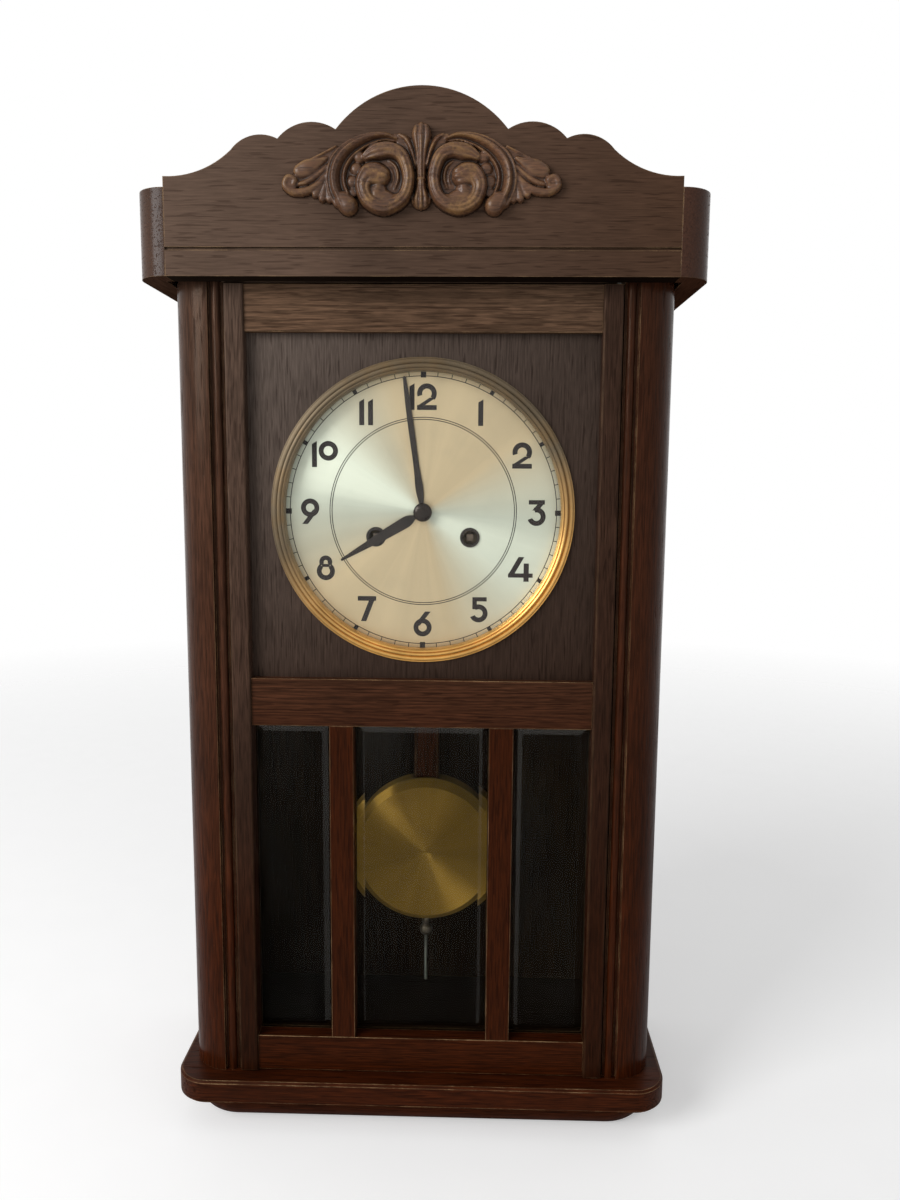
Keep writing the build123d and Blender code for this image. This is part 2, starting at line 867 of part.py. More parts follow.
with BuildPart() as catch_clip:
    catch_z = dial_z + catch_place[1]
    plate_right = -post_inner
    plate_left = plate_right - catch_plate_width
    plate_low = catch_z - catch_plate_height / 2
    plate_high = catch_z + catch_plate_height / 2
    plate_back = post_back - catch_plate_thickness
    block(plate_left, plate_right, plate_back, post_back, plate_low, plate_high)
    leaf_tip_x = catch_place[0] + catch_stud_radius
    leaf_back = post_back - catch_leaf_reach
    leaf_low = catch_stud_radius + free_gap
    leaf_high = leaf_low + catch_leaf
    leaf_left = plate_right - catch_leaf
    block(leaf_left, leaf_tip_x, leaf_back, post_back, catch_z + leaf_low, catch_z + leaf_high)
    block(leaf_left, leaf_tip_x, leaf_back, post_back, catch_z - leaf_high, catch_z - leaf_low)
save(catch_clip, "catch_clip")

# Axes of the movement, from the dial centre
centre_at = (0.0, 0.0)
time_barrel_at = (winding_spread, -winding_drop)
strike_barrel_at = (-winding_spread, -winding_drop)
intermediate_at = apex(
    time_barrel_at,
    centres(barrel_teeth, intermediate_leaves, barrel_module),
    centre_at,
    centres(intermediate_teeth, centre_leaves, intermediate_module),
)
third_at = polar(centre_at, third_bearing, centres(centre_teeth, third_leaves, centre_module))
escape_reach = centres(third_teeth, escape_leaves, third_module)
escape_at = (0.0, third_at[1] + sqrt(escape_reach**2 - third_at[0] ** 2))
anchor_at = (0.0, escape_at[1] + anchor_height)
minute_wheel_reach = motion_module * (cannon_leaves + minute_wheel_teeth) / 2
hour_module = 2 * minute_wheel_reach / (minute_wheel_leaves + hour_wheel_teeth)
minute_wheel_at = polar(centre_at, minute_wheel_bearing, minute_wheel_reach + mesh_play)
pin_wheel_reach = centres(barrel_teeth, pin_wheel_leaves, barrel_module)
pin_wheel_at = polar(strike_barrel_at, pin_wheel_bearing, pin_wheel_reach)
warning_reach = centres(pin_wheel_teeth, warning_leaves, pin_wheel_module)
warning_at = polar(pin_wheel_at, warning_bearing, warning_reach)
fly_at = polar(warning_at, fly_bearing, centres(warning_teeth, fly_leaves, warning_module))
pivot_z = dial_z + anchor_at[1]

# Phases that put each pinion in mesh with its wheel
time_barrel_phase = 0.0
strike_barrel_phase = 0.0
centre_phase = 0.0
third_phase = 0.0
pin_wheel_phase = 0.0
warning_phase = 0.0
intermediate_phase = 0.0
minute_wheel_phase = 0.0
intermediate_leaf_phase = mesh(
    time_barrel_at, barrel_teeth, time_barrel_phase, intermediate_at, intermediate_leaves
)
centre_leaf_phase = mesh(intermediate_at, intermediate_teeth, intermediate_phase, centre_at, centre_leaves)
third_leaf_phase = mesh(centre_at, centre_teeth, centre_phase, third_at, third_leaves)
escape_leaf_phase = mesh(third_at, third_teeth, third_phase, escape_at, escape_leaves)
pin_wheel_leaf_phase = mesh(
    strike_barrel_at, barrel_teeth, strike_barrel_phase, pin_wheel_at, pin_wheel_leaves
)
warning_leaf_phase = mesh(pin_wheel_at, pin_wheel_teeth, pin_wheel_phase, warning_at, warning_leaves)
fly_leaf_phase = mesh(warning_at, warning_teeth, warning_phase, fly_at, fly_leaves)
cannon_leaf_phase = mesh(minute_wheel_at, minute_wheel_teeth, minute_wheel_phase, centre_at, cannon_leaves)
hour_leaf_phase = 0.0
hour_wheel_phase = mesh(minute_wheel_at, minute_wheel_leaves, hour_leaf_phase, centre_at, hour_wheel_teeth)

# Movement plates, pillars and the brackets they stand on
stout_axes = (intermediate_at, pin_wheel_at)
fine_axes = (third_at, escape_at, warning_at, fly_at)
barrel_axes = (time_barrel_at, strike_barrel_at)
plate_middle = (0, (plate_above - plate_below) / 2)
with BuildPart() as front_plate:
    with BuildSketch(facing(front_plate_back)):
        with Locations(plate_middle):
            RectangleRounded(2 * plate_half_width, plate_above + plate_below, plate_corner)
        with Locations(*barrel_axes):
            Circle(winding_arbor_radius + shaft_slip, mode=Mode.SUBTRACT)
        with Locations(centre_at, *stout_axes):
            Circle(stout_arbor + shaft_slip, mode=Mode.SUBTRACT)
        with Locations(anchor_at, *fine_axes):
            Circle(fine_arbor + shaft_slip, mode=Mode.SUBTRACT)
        with Locations(hammer_at):
            Circle(hammer_arbor + shaft_slip, mode=Mode.SUBTRACT)
    extrude(amount=plate_thickness)
    bar(minute_wheel_at, stout_arbor, front_plate_front, minute_stud_front)
save(front_plate, "front_plate")

with BuildPart() as back_plate:
    with BuildSketch(facing(back_plate_back)):
        with Locations(plate_middle):
            RectangleRounded(2 * plate_half_width, plate_above + plate_below, plate_corner)
        with Locations(*barrel_axes):
            Circle(winding_pivot_radius + shaft_slip, mode=Mode.SUBTRACT)
        with Locations(centre_at, *stout_axes):
            Circle(stout_arbor + shaft_slip, mode=Mode.SUBTRACT)
        with Locations(*fine_axes):
            Circle(fine_arbor + shaft_slip, mode=Mode.SUBTRACT)
        with Locations(anchor_at):
            Circle(anchor_hole, mode=Mode.SUBTRACT)
        with Locations(hammer_at):
            Circle(hammer_arbor + shaft_slip, mode=Mode.SUBTRACT)
    extrude(amount=plate_thickness)
save(back_plate, "back_plate")

pillar_x = plate_half_width - pillar_inset
pillar_low = -plate_below + pillar_inset
pillar_high = plate_above - pillar_inset
with BuildPart() as plate_pillars:
    for x in (-pillar_x, pillar_x):
        for z in (pillar_low, pillar_high):
            bar((x, z), pillar_radius, back_plate_front, front_plate_back)
save(plate_pillars, "plate_pillars")

with BuildPart() as movement_brackets:
    shelf_top = dial_z - plate_below
    for side in (-1, 1):
        left = side * bracket_offset - bracket_width / 2
        right = left + bracket_width
        flange = back_front + bracket_thickness
        block(left, right, back_front, front_plate_front, shelf_top - bracket_thickness, shelf_top)
        block(left, right, back_front, flange, shelf_top - bracket_drop, shelf_top)
save(movement_brackets, "movement_brackets")


def arbor_set(place, outline, root, depth, leaves, leaf_depth, arbor, arbor_front):
    """A spoked wheel and its pinion on one arbor that turns in both plates."""
    with BuildPart() as piece:
        with BuildSketch(facing(depth, place)):
            Polygon(*outline, align=None)
            with PolarLocations(0, spokes):
                Polygon(*window_points(root - rim_width), align=None, mode=Mode.SUBTRACT)
        extrude(amount=wheel_thickness)
        with BuildSketch(facing(leaf_depth - pinion_overlap, place)):
            Polygon(*leaves, align=None)
        extrude(amount=wheel_thickness + 2 * pinion_overlap)
        bar(place, arbor, back_plate_back, arbor_front)
    return piece


def spring_barrel(place, phase):
    """A closed spring barrel with its great wheel, free on the winding arbor."""
    with BuildPart() as piece:
        with BuildSketch(facing(barrel_front, place)):
            Polygon(*wheel_points(barrel_teeth, barrel_module, phase), align=None)
        extrude(amount=great_wheel_thickness)
        bar(place, barrel_radius, barrel_back, barrel_front)
        bar(place, winding_arbor_radius + shaft_slip, barrel_back, great_wheel_front, Mode.SUBTRACT)
    return piece


def winding_arbor(place):
    """A barrel arbor with a rear pivot and a square front end for the key."""
    half = winding_square / 2
    middle_z = dial_z + place[1]
    square_back = front_plate_front + winding_square_gap
    with BuildPart() as piece:
        bar(place, winding_pivot_radius, back_plate_back, arbor_shoulder)
        bar(place, winding_arbor_radius, arbor_shoulder, square_back)
        block(
            place[0] - half,
            place[0] + half,
            square_back,
            dial_back - winding_square_gap,
            middle_z - half,
            middle_z + half,
        )
    return piece


# Going train, from the spring barrel to the escape wheel
time_barrel = spring_barrel(time_barrel_at, time_barrel_phase)
save(time_barrel, "time_barrel")

time_winding_arbor = winding_arbor(time_barrel_at)
save(time_winding_arbor, "time_winding_arbor")

intermediate_wheel = arbor_set(
    intermediate_at,
    wheel_points(intermediate_teeth, intermediate_module, intermediate_phase),
    root_radius(intermediate_teeth, intermediate_module),
    layer_b,
    pinion_points(intermediate_leaves, barrel_module, intermediate_leaf_phase),
    barrel_front,
    stout_arbor,
    front_plate_front,
)
save(intermediate_wheel, "intermediate_wheel")

centre_wheel = arbor_set(
    centre_at,
    wheel_points(centre_teeth, centre_module, centre_phase),
    root_radius(centre_teeth, centre_module),
    layer_c,
    pinion_points(centre_leaves, intermediate_module, centre_leaf_phase),
    layer_b,
    stout_arbor,
    minute_hand_back,
)
save(centre_wheel, "centre_wheel")

third_wheel = arbor_set(
    third_at,
    wheel_points(third_teeth, third_module, third_phase),
    root_radius(third_teeth, third_module),
    layer_d,
    pinion_points(third_leaves, centre_module, third_leaf_phase),
    layer_c,
    fine_arbor,
    front_plate_front,
)
save(third_wheel, "third_wheel")

escape_root = escape_radius - escape_tooth_depth
escape_lean = escape_tooth_lean * 2 * pi / escape_teeth
escape_wheel = arbor_set(
    escape_at,
    ring_points(((escape_root, 0.0), (escape_radius, escape_lean)), escape_teeth, 0.0),
    escape_root,
    layer_e,
    pinion_points(escape_leaves, third_module, escape_leaf_phase),
    layer_d,
    fine_arbor,
    front_plate_front,
)
save(escape_wheel, "escape_wheel")

# Anchor on its arbor, with a pallet each side of the escape wheel
pallet = polar((0.0, -anchor_height), anchor_spread, escape_radius + anchor_clearance)
knee = (pallet[0] + anchor_arm, pallet[1] + 2 * anchor_arm)
heel = (pallet[0] - anchor_arm / 5, pallet[1] + 1.1 * anchor_arm)
with BuildPart() as anchor:
    with BuildSketch(facing(layer_e, anchor_at)):
        Circle(anchor_hub)
        Polygon((0, anchor_hub), (0, anchor_hub - anchor_arm), heel, pallet, knee, align=None)
        mirror(about=Plane.YZ)
    extrude(amount=anchor_thickness)
    bar(anchor_at, fine_arbor, cock_tab_back, front_plate_front)
save(anchor, "anchor")

crutch_back = back_plate_back - crutch_behind
with BuildPart() as crutch:
    with BuildSketch(facing(crutch_back, anchor_at)):
        Circle(anchor_hub)
        with Locations((0, -crutch_drop / 2)):
            SlotCenterToCenter(crutch_drop, crutch_width, rotation=90)
        Circle(fine_arbor, mode=Mode.SUBTRACT)
    extrude(amount=crutch_thickness)
    crutch_pin_at = (0.0, anchor_at[1] - crutch_drop)
    bar(crutch_pin_at, crutch_pin_radius, hook_back - free_gap, crutch_back)
save(crutch, "crutch")

# Strike train, from its barrel to the fly
strike_barrel = spring_barrel(strike_barrel_at, strike_barrel_phase)
save(strike_barrel, "strike_barrel")

strike_winding_arbor = winding_arbor(strike_barrel_at)
save(strike_winding_arbor, "strike_winding_arbor")

lift_pin_circle = root_radius(pin_wheel_teeth, pin_wheel_module) - rim_width / 2
with BuildPart() as pin_wheel:
    add(
        arbor_set(
            pin_wheel_at,
            wheel_points(pin_wheel_teeth, pin_wheel_module, pin_wheel_phase),
            root_radius(pin_wheel_teeth, pin_wheel_module),
            layer_b,
            pinion_points(pin_wheel_leaves, barrel_module, pin_wheel_leaf_phase),
            barrel_front,
            stout_arbor,
            front_plate_front,
        )
    )
    with BuildSketch(facing(layer_b + wheel_thickness, pin_wheel_at)):
        with PolarLocations(lift_pin_circle, lift_pins):
            RegularPolygon(lift_pin_radius, 6)
    extrude(amount=lift_pin_length)
save(pin_wheel, "pin_wheel")

warning_wheel = arbor_set(
    warning_at,
    wheel_points(warning_teeth, warning_module, warning_phase),
    root_radius(warning_teeth, warning_module),
    layer_c,
    pinion_points(warning_leaves, pin_wheel_module, warning_leaf_phase),
    layer_b,
    fine_arbor,
    front_plate_front,
)
save(warning_wheel, "warning_wheel")

with BuildPart() as fly:
    with BuildSketch(facing(layer_c - pinion_overlap, fly_at)):
        Polygon(*pinion_points(fly_leaves, warning_module, fly_leaf_phase), align=None)
    extrude(amount=wheel_thickness + 2 * pinion_overlap)
    bar(fly_at, fine_arbor, back_plate_back, front_plate_front)
    with BuildSketch(facing(fly_back, fly_at)):
        Rectangle(2 * fly_radius, fly_vane)
        Circle(fine_arbor + fly_vane)
    extrude(amount=fly_length)
save(fly, "fly")

# Hammer: arbor, a tail beside the lift pins, a stem and a head beside the gong rods
tail_bearing = atan2(pin_wheel_at[1] - hammer_at[1], pin_wheel_at[0] - hammer_at[0])
tail_room = hypot(pin_wheel_at[0] - hammer_at[0], pin_wheel_at[1] - hammer_at[1]) - lift_pin_circle
tail_length = tail_room - lift_pin_radius - hammer_tail_gap
tail_turn = tail_bearing * 180 / pi
tail_back = layer_b + wheel_thickness + free_gap
head_right = gong_rods_at[0] + gong_rod_radius + hammer_gap + hammer_head_length
head_at = (head_right - hammer_head_length / 2 - hammer_at[0], hammer_height - hammer_at[1])
with BuildPart() as hammer:
    bar(hammer_at, hammer_arbor, gong_depth - hammer_stem, front_plate_front)
    with BuildSketch(facing(tail_back, hammer_at, tail_turn)):
        with Locations((tail_length / 2, 0)):
            Rectangle(tail_length, hammer_tail_width)
        Circle(hammer_tail_width)
    extrude(amount=lift_pin_length - 2 * free_gap)
    with BuildSketch(facing(gong_depth - hammer_stem / 2, hammer_at)):
        Circle(hammer_tail_width)
        with BuildLine():
            Line((0, 0), head_at)
        trace(line_width=hammer_stem)
    extrude(amount=hammer_stem)
    head_z = dial_z + hammer_height
    with Locations(Location((head_right - hammer_head_length / 2, -gong_depth, head_z), (0, 90, 0))):
        Cylinder(hammer_head_radius, hammer_head_length)
save(hammer, "hammer")

gong_bottom = dial_z + gong_above_dial
with BuildPart() as gong_block:
    block(
        gong_rods_at[1] - gong_block_margin,
        gong_rods_at[0] + gong_block_margin,
        back_front,
        gong_depth + gong_block_margin,
        gong_bottom,
        gong_bottom + gong_block_height,
    )
    for x in gong_rods_at:
        seat_radius = gong_rod_radius + shaft_slip
        upright(x, gong_depth, seat_radius, gong_bottom, gong_bottom + gong_seat, Mode.SUBTRACT)
save(gong_block, "gong_block")

with BuildPart() as gong_rods:
    for x in gong_rods_at:
        upright(x, gong_depth, gong_rod_radius, gong_bottom - gong_rod_length, gong_bottom + gong_seat)
save(gong_rods, "gong_rods")

# Motion works between the front plate and the dial
with BuildPart() as cannon_pinion:
    with BuildSketch(facing(cannon_back)):
        Polygon(*pinion_points(cannon_leaves, motion_module, cannon_leaf_phase), align=None)
    extrude(amount=cannon_length)
    bar(centre_at, cannon_pipe_radius, cannon_back, minute_hand_front)
    bar(centre_at, stout_arbor + shaft_slip, cannon_back, minute_hand_front, Mode.SUBTRACT)
save(cannon_pinion, "cannon_pinion")

with BuildPart() as minute_wheel:
    minute_wheel_back = cannon_back + motion_gap
    with BuildSketch(facing(minute_wheel_back, minute_wheel_at)):
        Polygon(*wheel_points(minute_wheel_teeth, motion_module, minute_wheel_phase), align=None)
    extrude(amount=motion_wheel_thickness)
    with BuildSketch(facing(minute_wheel_back, minute_wheel_at)):
        Polygon(*pinion_points(minute_wheel_leaves, hour_module, hour_leaf_phase), align=None)
    extrude(amount=minute_stud_front - minute_wheel_back)
    bar(minute_wheel_at, stout_arbor + shaft_slip, minute_wheel_back, minute_stud_front, Mode.SUBTRACT)
save(minute_wheel, "minute_wheel")

with BuildPart() as hour_wheel:
    hour_wheel_back = cannon_back + cannon_length + 2 * motion_gap
    with BuildSketch(facing(hour_wheel_back)):
        Polygon(*wheel_points(hour_wheel_teeth, hour_module, hour_wheel_phase), align=None)
    extrude(amount=motion_wheel_thickness)
    bar(centre_at, hour_pipe_radius, hour_wheel_back, hour_hand_front)
    bar(centre_at, cannon_pipe_radius + shaft_slip, hour_wheel_back, hour_hand_front, Mode.SUBTRACT)
save(hour_wheel, "hour_wheel")

# Dial on three feet, and the grommets of the winding holes
with BuildPart() as dial:
    with BuildSketch(facing(dial_back)):
        Circle(dial_radius)
        Circle(dial_centre_hole, mode=Mode.SUBTRACT)
        with Locations(*barrel_axes):
            Circle(grommet_hole + grommet_sleeve + shaft_slip, mode=Mode.SUBTRACT)
    extrude(amount=dial_thickness)
    for foot in dial_feet:
        bar(foot, dial_foot_radius, front_plate_front, dial_back)
save(dial, "dial")

with BuildPart() as winding_grommets:
    for place in barrel_axes:
        bar(place, grommet_radius, dial_front, dial_front + grommet_flange)
        bar(place, grommet_hole + grommet_sleeve, dial_back, dial_front)
        bar(place, grommet_hole, dial_back, dial_front + grommet_flange, Mode.SUBTRACT)
save(winding_grommets, "winding_grommets")


def hand(outline, length, hub, bore, back, turn):
    """A flat hand: half widths at shares of its length, a rounded tip, a hub and a bore."""
    tip = outline[-1][0]
    side = [(half, share * length) for half, share in outline]
    with BuildPart() as piece:
        with BuildSketch(facing(back, centre_at, -turn)):
            with BuildLine():
                Spline(*side)
                Line(side[-1], (tip, length - tip))
                TangentArc((tip, length - tip), (0, length), tangent=(0, 1))
                Polyline((0, length), (0, 0), side[0])
            make_face()
            mirror(about=Plane.YZ)
            Circle(hub)
            Circle(bore, mode=Mode.SUBTRACT)
        extrude(amount=hand_thickness)
    return piece


minute_turn = 6 * minutes_past
hour_turn = 30 * (hours_past + minutes_past / 60)
hour_bore = hour_pipe_radius + shaft_slip
hour_hand = hand(hour_outline, hour_hand_length, hour_hub_radius, hour_bore, hour_hand_back, hour_turn)
save(hour_hand, "hour_hand")

minute_bore = cannon_pipe_radius + shaft_slip
minute_hand = hand(
    minute_outline, minute_hand_length, minute_hub_radius, minute_bore, minute_hand_back, minute_turn
)
save(minute_hand, "minute_hand")

with BuildPart() as hand_nut:
    nut_front = minute_hand_front + hand_nut_height
    with BuildSketch(Plane.XY.offset(dial_z)):
        with BuildLine():
            Polyline(
                (0, -nut_front),
                (hand_nut_flat, -nut_front),
                (hand_nut_radius, -minute_hand_front - hand_nut_edge),
                (hand_nut_radius, -minute_hand_front),
                (0, -minute_hand_front),
                close=True,
            )
        make_face()
    revolve(axis=Axis((0, 0, dial_z), (0, 1, 0)))
save(hand_nut, "hand_nut")

# Suspension: cock on the back plate, spring, hook
with BuildPart() as suspension_cock:
    half_cock = cock_width / 2
    arm_bottom = pivot_z + cock_above_pivot
    block(-half_cock, half_cock, cock_back, back_plate_back, arm_bottom, arm_bottom + cock_height)
    block(-half_cock, half_cock, cock_tab_back, cock_tab_front, pivot_z - cock_above_pivot, arm_bottom)
    bar(anchor_at, fine_arbor + shaft_slip, cock_tab_back, cock_tab_front, Mode.SUBTRACT)
    block(-chop_width / 2, chop_width / 2, spring_back, spring_front, pivot_z + free_gap, arm_bottom)
save(suspension_cock, "suspension_cock")

spring_bottom = pivot_z - spring_length
chop_bottom = spring_bottom - chop_height
with BuildPart() as suspension_spring:
    leaf = spring_thickness / 2
    block(-leaf, leaf, spring_back, spring_front, spring_bottom, pivot_z)
    block(-chop_width / 2, chop_width / 2, spring_back, spring_front, chop_bottom, spring_bottom)
save(suspension_spring, "suspension_spring")

rod_top = chop_bottom - hook_length
hook_bottom = rod_top - hook_tang
with BuildPart() as pendulum_hook:
    block(-hook_width / 2, hook_width / 2, hook_back, hook_front, hook_bottom, chop_bottom)
    slot_half = crutch_pin_radius + crutch_slot_gap
    slot_middle = pivot_z - crutch_drop
    slot_bottom = slot_middle - crutch_slot_height / 2
    slot_top = slot_middle + crutch_slot_height / 2
    block(-slot_half, slot_half, hook_back, hook_front, slot_bottom, slot_top, Mode.SUBTRACT)
save(pendulum_hook, "pendulum_hook")

# Pendulum rod, bob and rating nut
rod_half = pendulum_rod_width / 2
rod_back = pendulum_depth - pendulum_rod_thickness / 2
rod_front = pendulum_depth + pendulum_rod_thickness / 2
bob_bottom = bob_z - bob_radius
channel_bottom = bob_bottom + bob_foot
rod_bottom = channel_bottom + bob_travel + free_gap
with BuildPart() as pendulum_rod:
    block(-rod_half, rod_half, rod_back, rod_front, rod_bottom, rod_top)
    chamfer(pendulum_rod.edges().filter_by(Axis.Z), pendulum_rod_chamfer)
    block(-hook_width / 2, hook_width / 2, hook_back, hook_front, hook_bottom, rod_top, Mode.SUBTRACT)
    socket_radius = rating_screw_radius + shaft_slip
    upright(0, pendulum_depth, socket_radius, rod_bottom, rod_bottom + rating_screw_seat, Mode.SUBTRACT)
save(pendulum_rod, "pendulum_rod")

with BuildPart() as bob:
    with BuildSketch(Plane.XY.offset(bob_z)):
        with BuildLine():
            face_front = pendulum_depth + bob_thickness / 2
            face_back = pendulum_depth - bob_thickness / 2
            Polyline(
                (0, -face_back),
                (0, -face_front),
                (bob_face_radius, -face_front + bob_crown),
                (bob_radius, -pendulum_depth - bob_rim / 2),
                (bob_radius, -pendulum_depth + bob_rim / 2),
                (bob_face_radius, -face_back - bob_crown),
                close=True,
            )
        make_face()
    revolve(axis=Axis((0, 0, bob_z), (0, 1, 0)))
    channel_half = rod_half + rod_slip
    channel_top = bob_z + bob_radius
    channel_front = rod_front + rod_slip
    block(-channel_half, channel_half, face_back, channel_front, channel_bottom, channel_top, Mode.SUBTRACT)
    upright(0, pendulum_depth, rating_screw_radius + free_gap, bob_bottom, channel_bottom, Mode.SUBTRACT)
save(bob, "bob")

nut_top = bob_bottom - shaft_slip
ball_middle = nut_top - rating_collar_length - rating_ball_radius
nut_bottom = ball_middle - rating_ball_radius
with BuildPart() as rating_nut:
    bore = rating_screw_radius + shaft_slip
    half_ball = rating_ball_radius / 2
    with BuildSketch(Plane.XZ.offset(pendulum_depth)):
        with BuildLine():
            Polyline(
                (bore, nut_top),
                (rating_collar_radius, nut_top),
                (rating_collar_radius, ball_middle + rating_ball_radius),
                (rating_ball_radius, ball_middle + half_ball),
                (rating_ball_radius, ball_middle - half_ball),
                (half_ball, nut_bottom),
                (bore, nut_bottom),
                close=True,
            )
        make_face()
    revolve(axis=Axis((0, -pendulum_depth, 0), (0, 0, 1)))
save(rating_nut, "rating_nut")

with BuildPart() as rating_screw:
    screw_bottom = nut_bottom - rating_screw_tail
    upright(0, pendulum_depth, rating_screw_radius, screw_bottom, rod_bottom + rating_screw_seat)
save(rating_screw, "rating_screw")
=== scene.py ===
"""Oak, carving, brass, glass and a printed dial for a pendulum wall clock, dressed over its CAD frame.

Lengths are metres in the CAD frame: X to the right, the clock facing -Y, Z up. Shapes drawn in millimetres
are scaled where they are placed.
"""
import math
from functools import partial

import bmesh
import bpy
import numpy as np
from bpy.props import FloatProperty, FloatVectorProperty, PointerProperty
from mathutils import Matrix, Vector


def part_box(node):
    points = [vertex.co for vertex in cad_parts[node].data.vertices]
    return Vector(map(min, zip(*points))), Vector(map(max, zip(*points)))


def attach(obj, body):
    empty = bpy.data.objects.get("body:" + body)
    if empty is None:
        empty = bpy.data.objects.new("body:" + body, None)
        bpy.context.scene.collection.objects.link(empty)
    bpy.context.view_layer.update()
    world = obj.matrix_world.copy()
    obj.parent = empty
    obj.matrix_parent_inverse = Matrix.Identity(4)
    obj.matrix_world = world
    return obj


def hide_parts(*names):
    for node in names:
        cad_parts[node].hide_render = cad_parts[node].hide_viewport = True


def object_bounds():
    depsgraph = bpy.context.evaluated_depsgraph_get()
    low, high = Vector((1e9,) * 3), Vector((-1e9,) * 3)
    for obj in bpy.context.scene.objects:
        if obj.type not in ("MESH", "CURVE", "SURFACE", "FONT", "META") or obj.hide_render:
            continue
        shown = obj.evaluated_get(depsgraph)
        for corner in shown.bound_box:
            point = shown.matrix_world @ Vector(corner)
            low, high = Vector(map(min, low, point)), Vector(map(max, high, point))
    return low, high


bl_info = {
    "name": "Pendulum Wall Clock",
    "version": (1, 0, 0),
    "blender": (4, 5, 0),
    "location": "View3D > Sidebar > Wall Clock",
    "description": "Dresses the clock's CAD frame with oak, carving, brass, glass and a printed dial",
    "category": "Object",
}

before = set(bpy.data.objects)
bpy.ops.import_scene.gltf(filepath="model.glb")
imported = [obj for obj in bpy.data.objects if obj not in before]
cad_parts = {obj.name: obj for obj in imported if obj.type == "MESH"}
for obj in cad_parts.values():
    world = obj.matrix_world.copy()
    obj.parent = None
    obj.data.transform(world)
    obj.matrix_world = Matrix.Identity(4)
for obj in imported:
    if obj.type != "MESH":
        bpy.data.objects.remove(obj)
CAD_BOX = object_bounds()
MM = 0.001

# Places read from the frame
DIAL_LOW, DIAL_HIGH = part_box("dial")
DIAL_FRONT = DIAL_LOW.y
DIAL_AXIS = np.array((0.0, DIAL_FRONT, (DIAL_LOW.z + DIAL_HIGH.z) / 2))
BEZEL_LOW, BEZEL_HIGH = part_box("bezel")
BEZEL_RADIUS = (BEZEL_HIGH.x - BEZEL_LOW.x) / 2
PANEL_LOW, PANEL_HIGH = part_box("dial_panel")
CARVING_LOW, CARVING_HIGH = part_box("crown_carving")
CROWN_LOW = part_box("crown_front")[0]
DOOR_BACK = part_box("door_stiles")[1].y
CASE_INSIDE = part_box("back_board")[1].x
BOB_LOW, BOB_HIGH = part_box("bob")
BOB_AXIS = np.array((0.0, BOB_LOW.y, (BOB_LOW.z + BOB_HIGH.z) / 2))
# Height at which the painted light on upright oak has died out
LIT_PAINT_FOOT = 0.75 * CAD_BOX[0][2]

# Carving paths on the right half, in millimetres from its waist: across, up, half width, crest height
VOLUTE = (
    (32.4, 12.2, 2.4, 6), (29, 14, 3.9, 7), (24.5, 15.2, 5, 8), (17.2, 15.7, 4.6, 8.8),
    (10.6, 11.6, 4.1, 9), (7.3, 0.3, 3.7, 9), (10.6, -10.4, 3.9, 9), (20.8, -15.9, 4.1, 8.8),
    (30.2, -12.4, 4.3, 8.8), (33.6, -4.6, 4.8, 8.8), (31, 1.6, 6, 8.9), (27, 2.6, 7, 9),
    (23.6, 1.6, 6.2, 9),
)
SWIRL_FILL = (
    (25, -6.4, 5.4, 7), (25.6, -9.6, 6, 7.3), (21.6, -11.6, 6, 7.5), (17, -12.4, 4.4, 7.7),
    (13.2, -10.4, 2.4, 8),
)
FLUTES = (
    ((18.6, 10.2, 0.7, 4), (14.6, 6.4, 1, 4.8), (13.4, 0.6, 1, 4.8), (15.2, -5.2, 0.8, 4.2)),
    ((19.6, 8, 0.6, 3.4), (17, 4.4, 0.8, 4), (16, -0.2, 0.8, 4), (17.2, -4, 0.7, 3.6)),
)
OUTER_BAND = (
    (15.5, 22.6, 1.8, 4.6), (20.8, 23.8, 2.6, 5.6), (27.6, 23, 3.4, 6.4), (35, 20.4, 4.4, 7),
    (42, 16, 5.2, 7.4), (47.4, 9.6, 5.9, 7.6), (49.6, 2.4, 6, 7.6), (49, -4.6, 6, 7.6),
    (46.4, -10.6, 5.8, 7.6),
)
BAND_END = ((45.4, -11.6, 5.2, 7.4), (42.4, -14.4, 5.7, 7.9))
BAND_SECTION = np.array(
    (
        (-1, 0.34), (-0.86, 0.64), (-0.62, 0.48), (-0.28, 1), (0.06, 0.82), (0.42, 0.36),
        (0.62, 0.44), (0.82, 0.8), (1, 0.34),
    )
)
LEAF_GROUND = ((49, 14, 4.4, 2.6), (57, 8.4, 6, 2.6), (64.6, 3.6, 5.6, 2.4), (70, 0, 4.6, 2.4))
LOBE_GROUND = ((37, 14, 4.6, 2.2), (38.6, 5, 5, 2.2), (39, -5, 4.4, 2.2))
PALM_GROUND = ((3, 8, 2.6, 3), (7.4, 16.6, 4.6, 3.2), (11, 21.6, 3.9, 3.2), (14.6, 23.8, 2, 3))
LEAF_LOBE = ((55, 11.6, 1.2, 4), (60.2, 9, 3.2, 4.8), (65.8, 6.6, 5, 5.4), (70.2, 4.8, 4.3, 5))
LEAF_EDGE = ((49.5, 18.4, 0.8, 3.6), (57, 14.6, 0.9, 3.6), (64.4, 11.4, 0.7, 3.2))
LEAF_VEIN = ((55, 7.2, 1.4, 3.8), (61, 2.2, 1.7, 4), (67, -1.4, 1.7, 4), (71, -2.4, 1.1, 3.8))
TIP_CURL = (
    (54.6, 3.2, 1.7, 3.8), (60.6, -3, 2.2, 4.2), (67, -6.2, 2.4, 4.6), (74, -6.8, 2.4, 4.8),
    (79, -3.4, 2.3, 5), (77.4, 1, 2.3, 5), (73.6, 0, 2, 5), (74.2, -2.6, 1.5, 4.8),
)
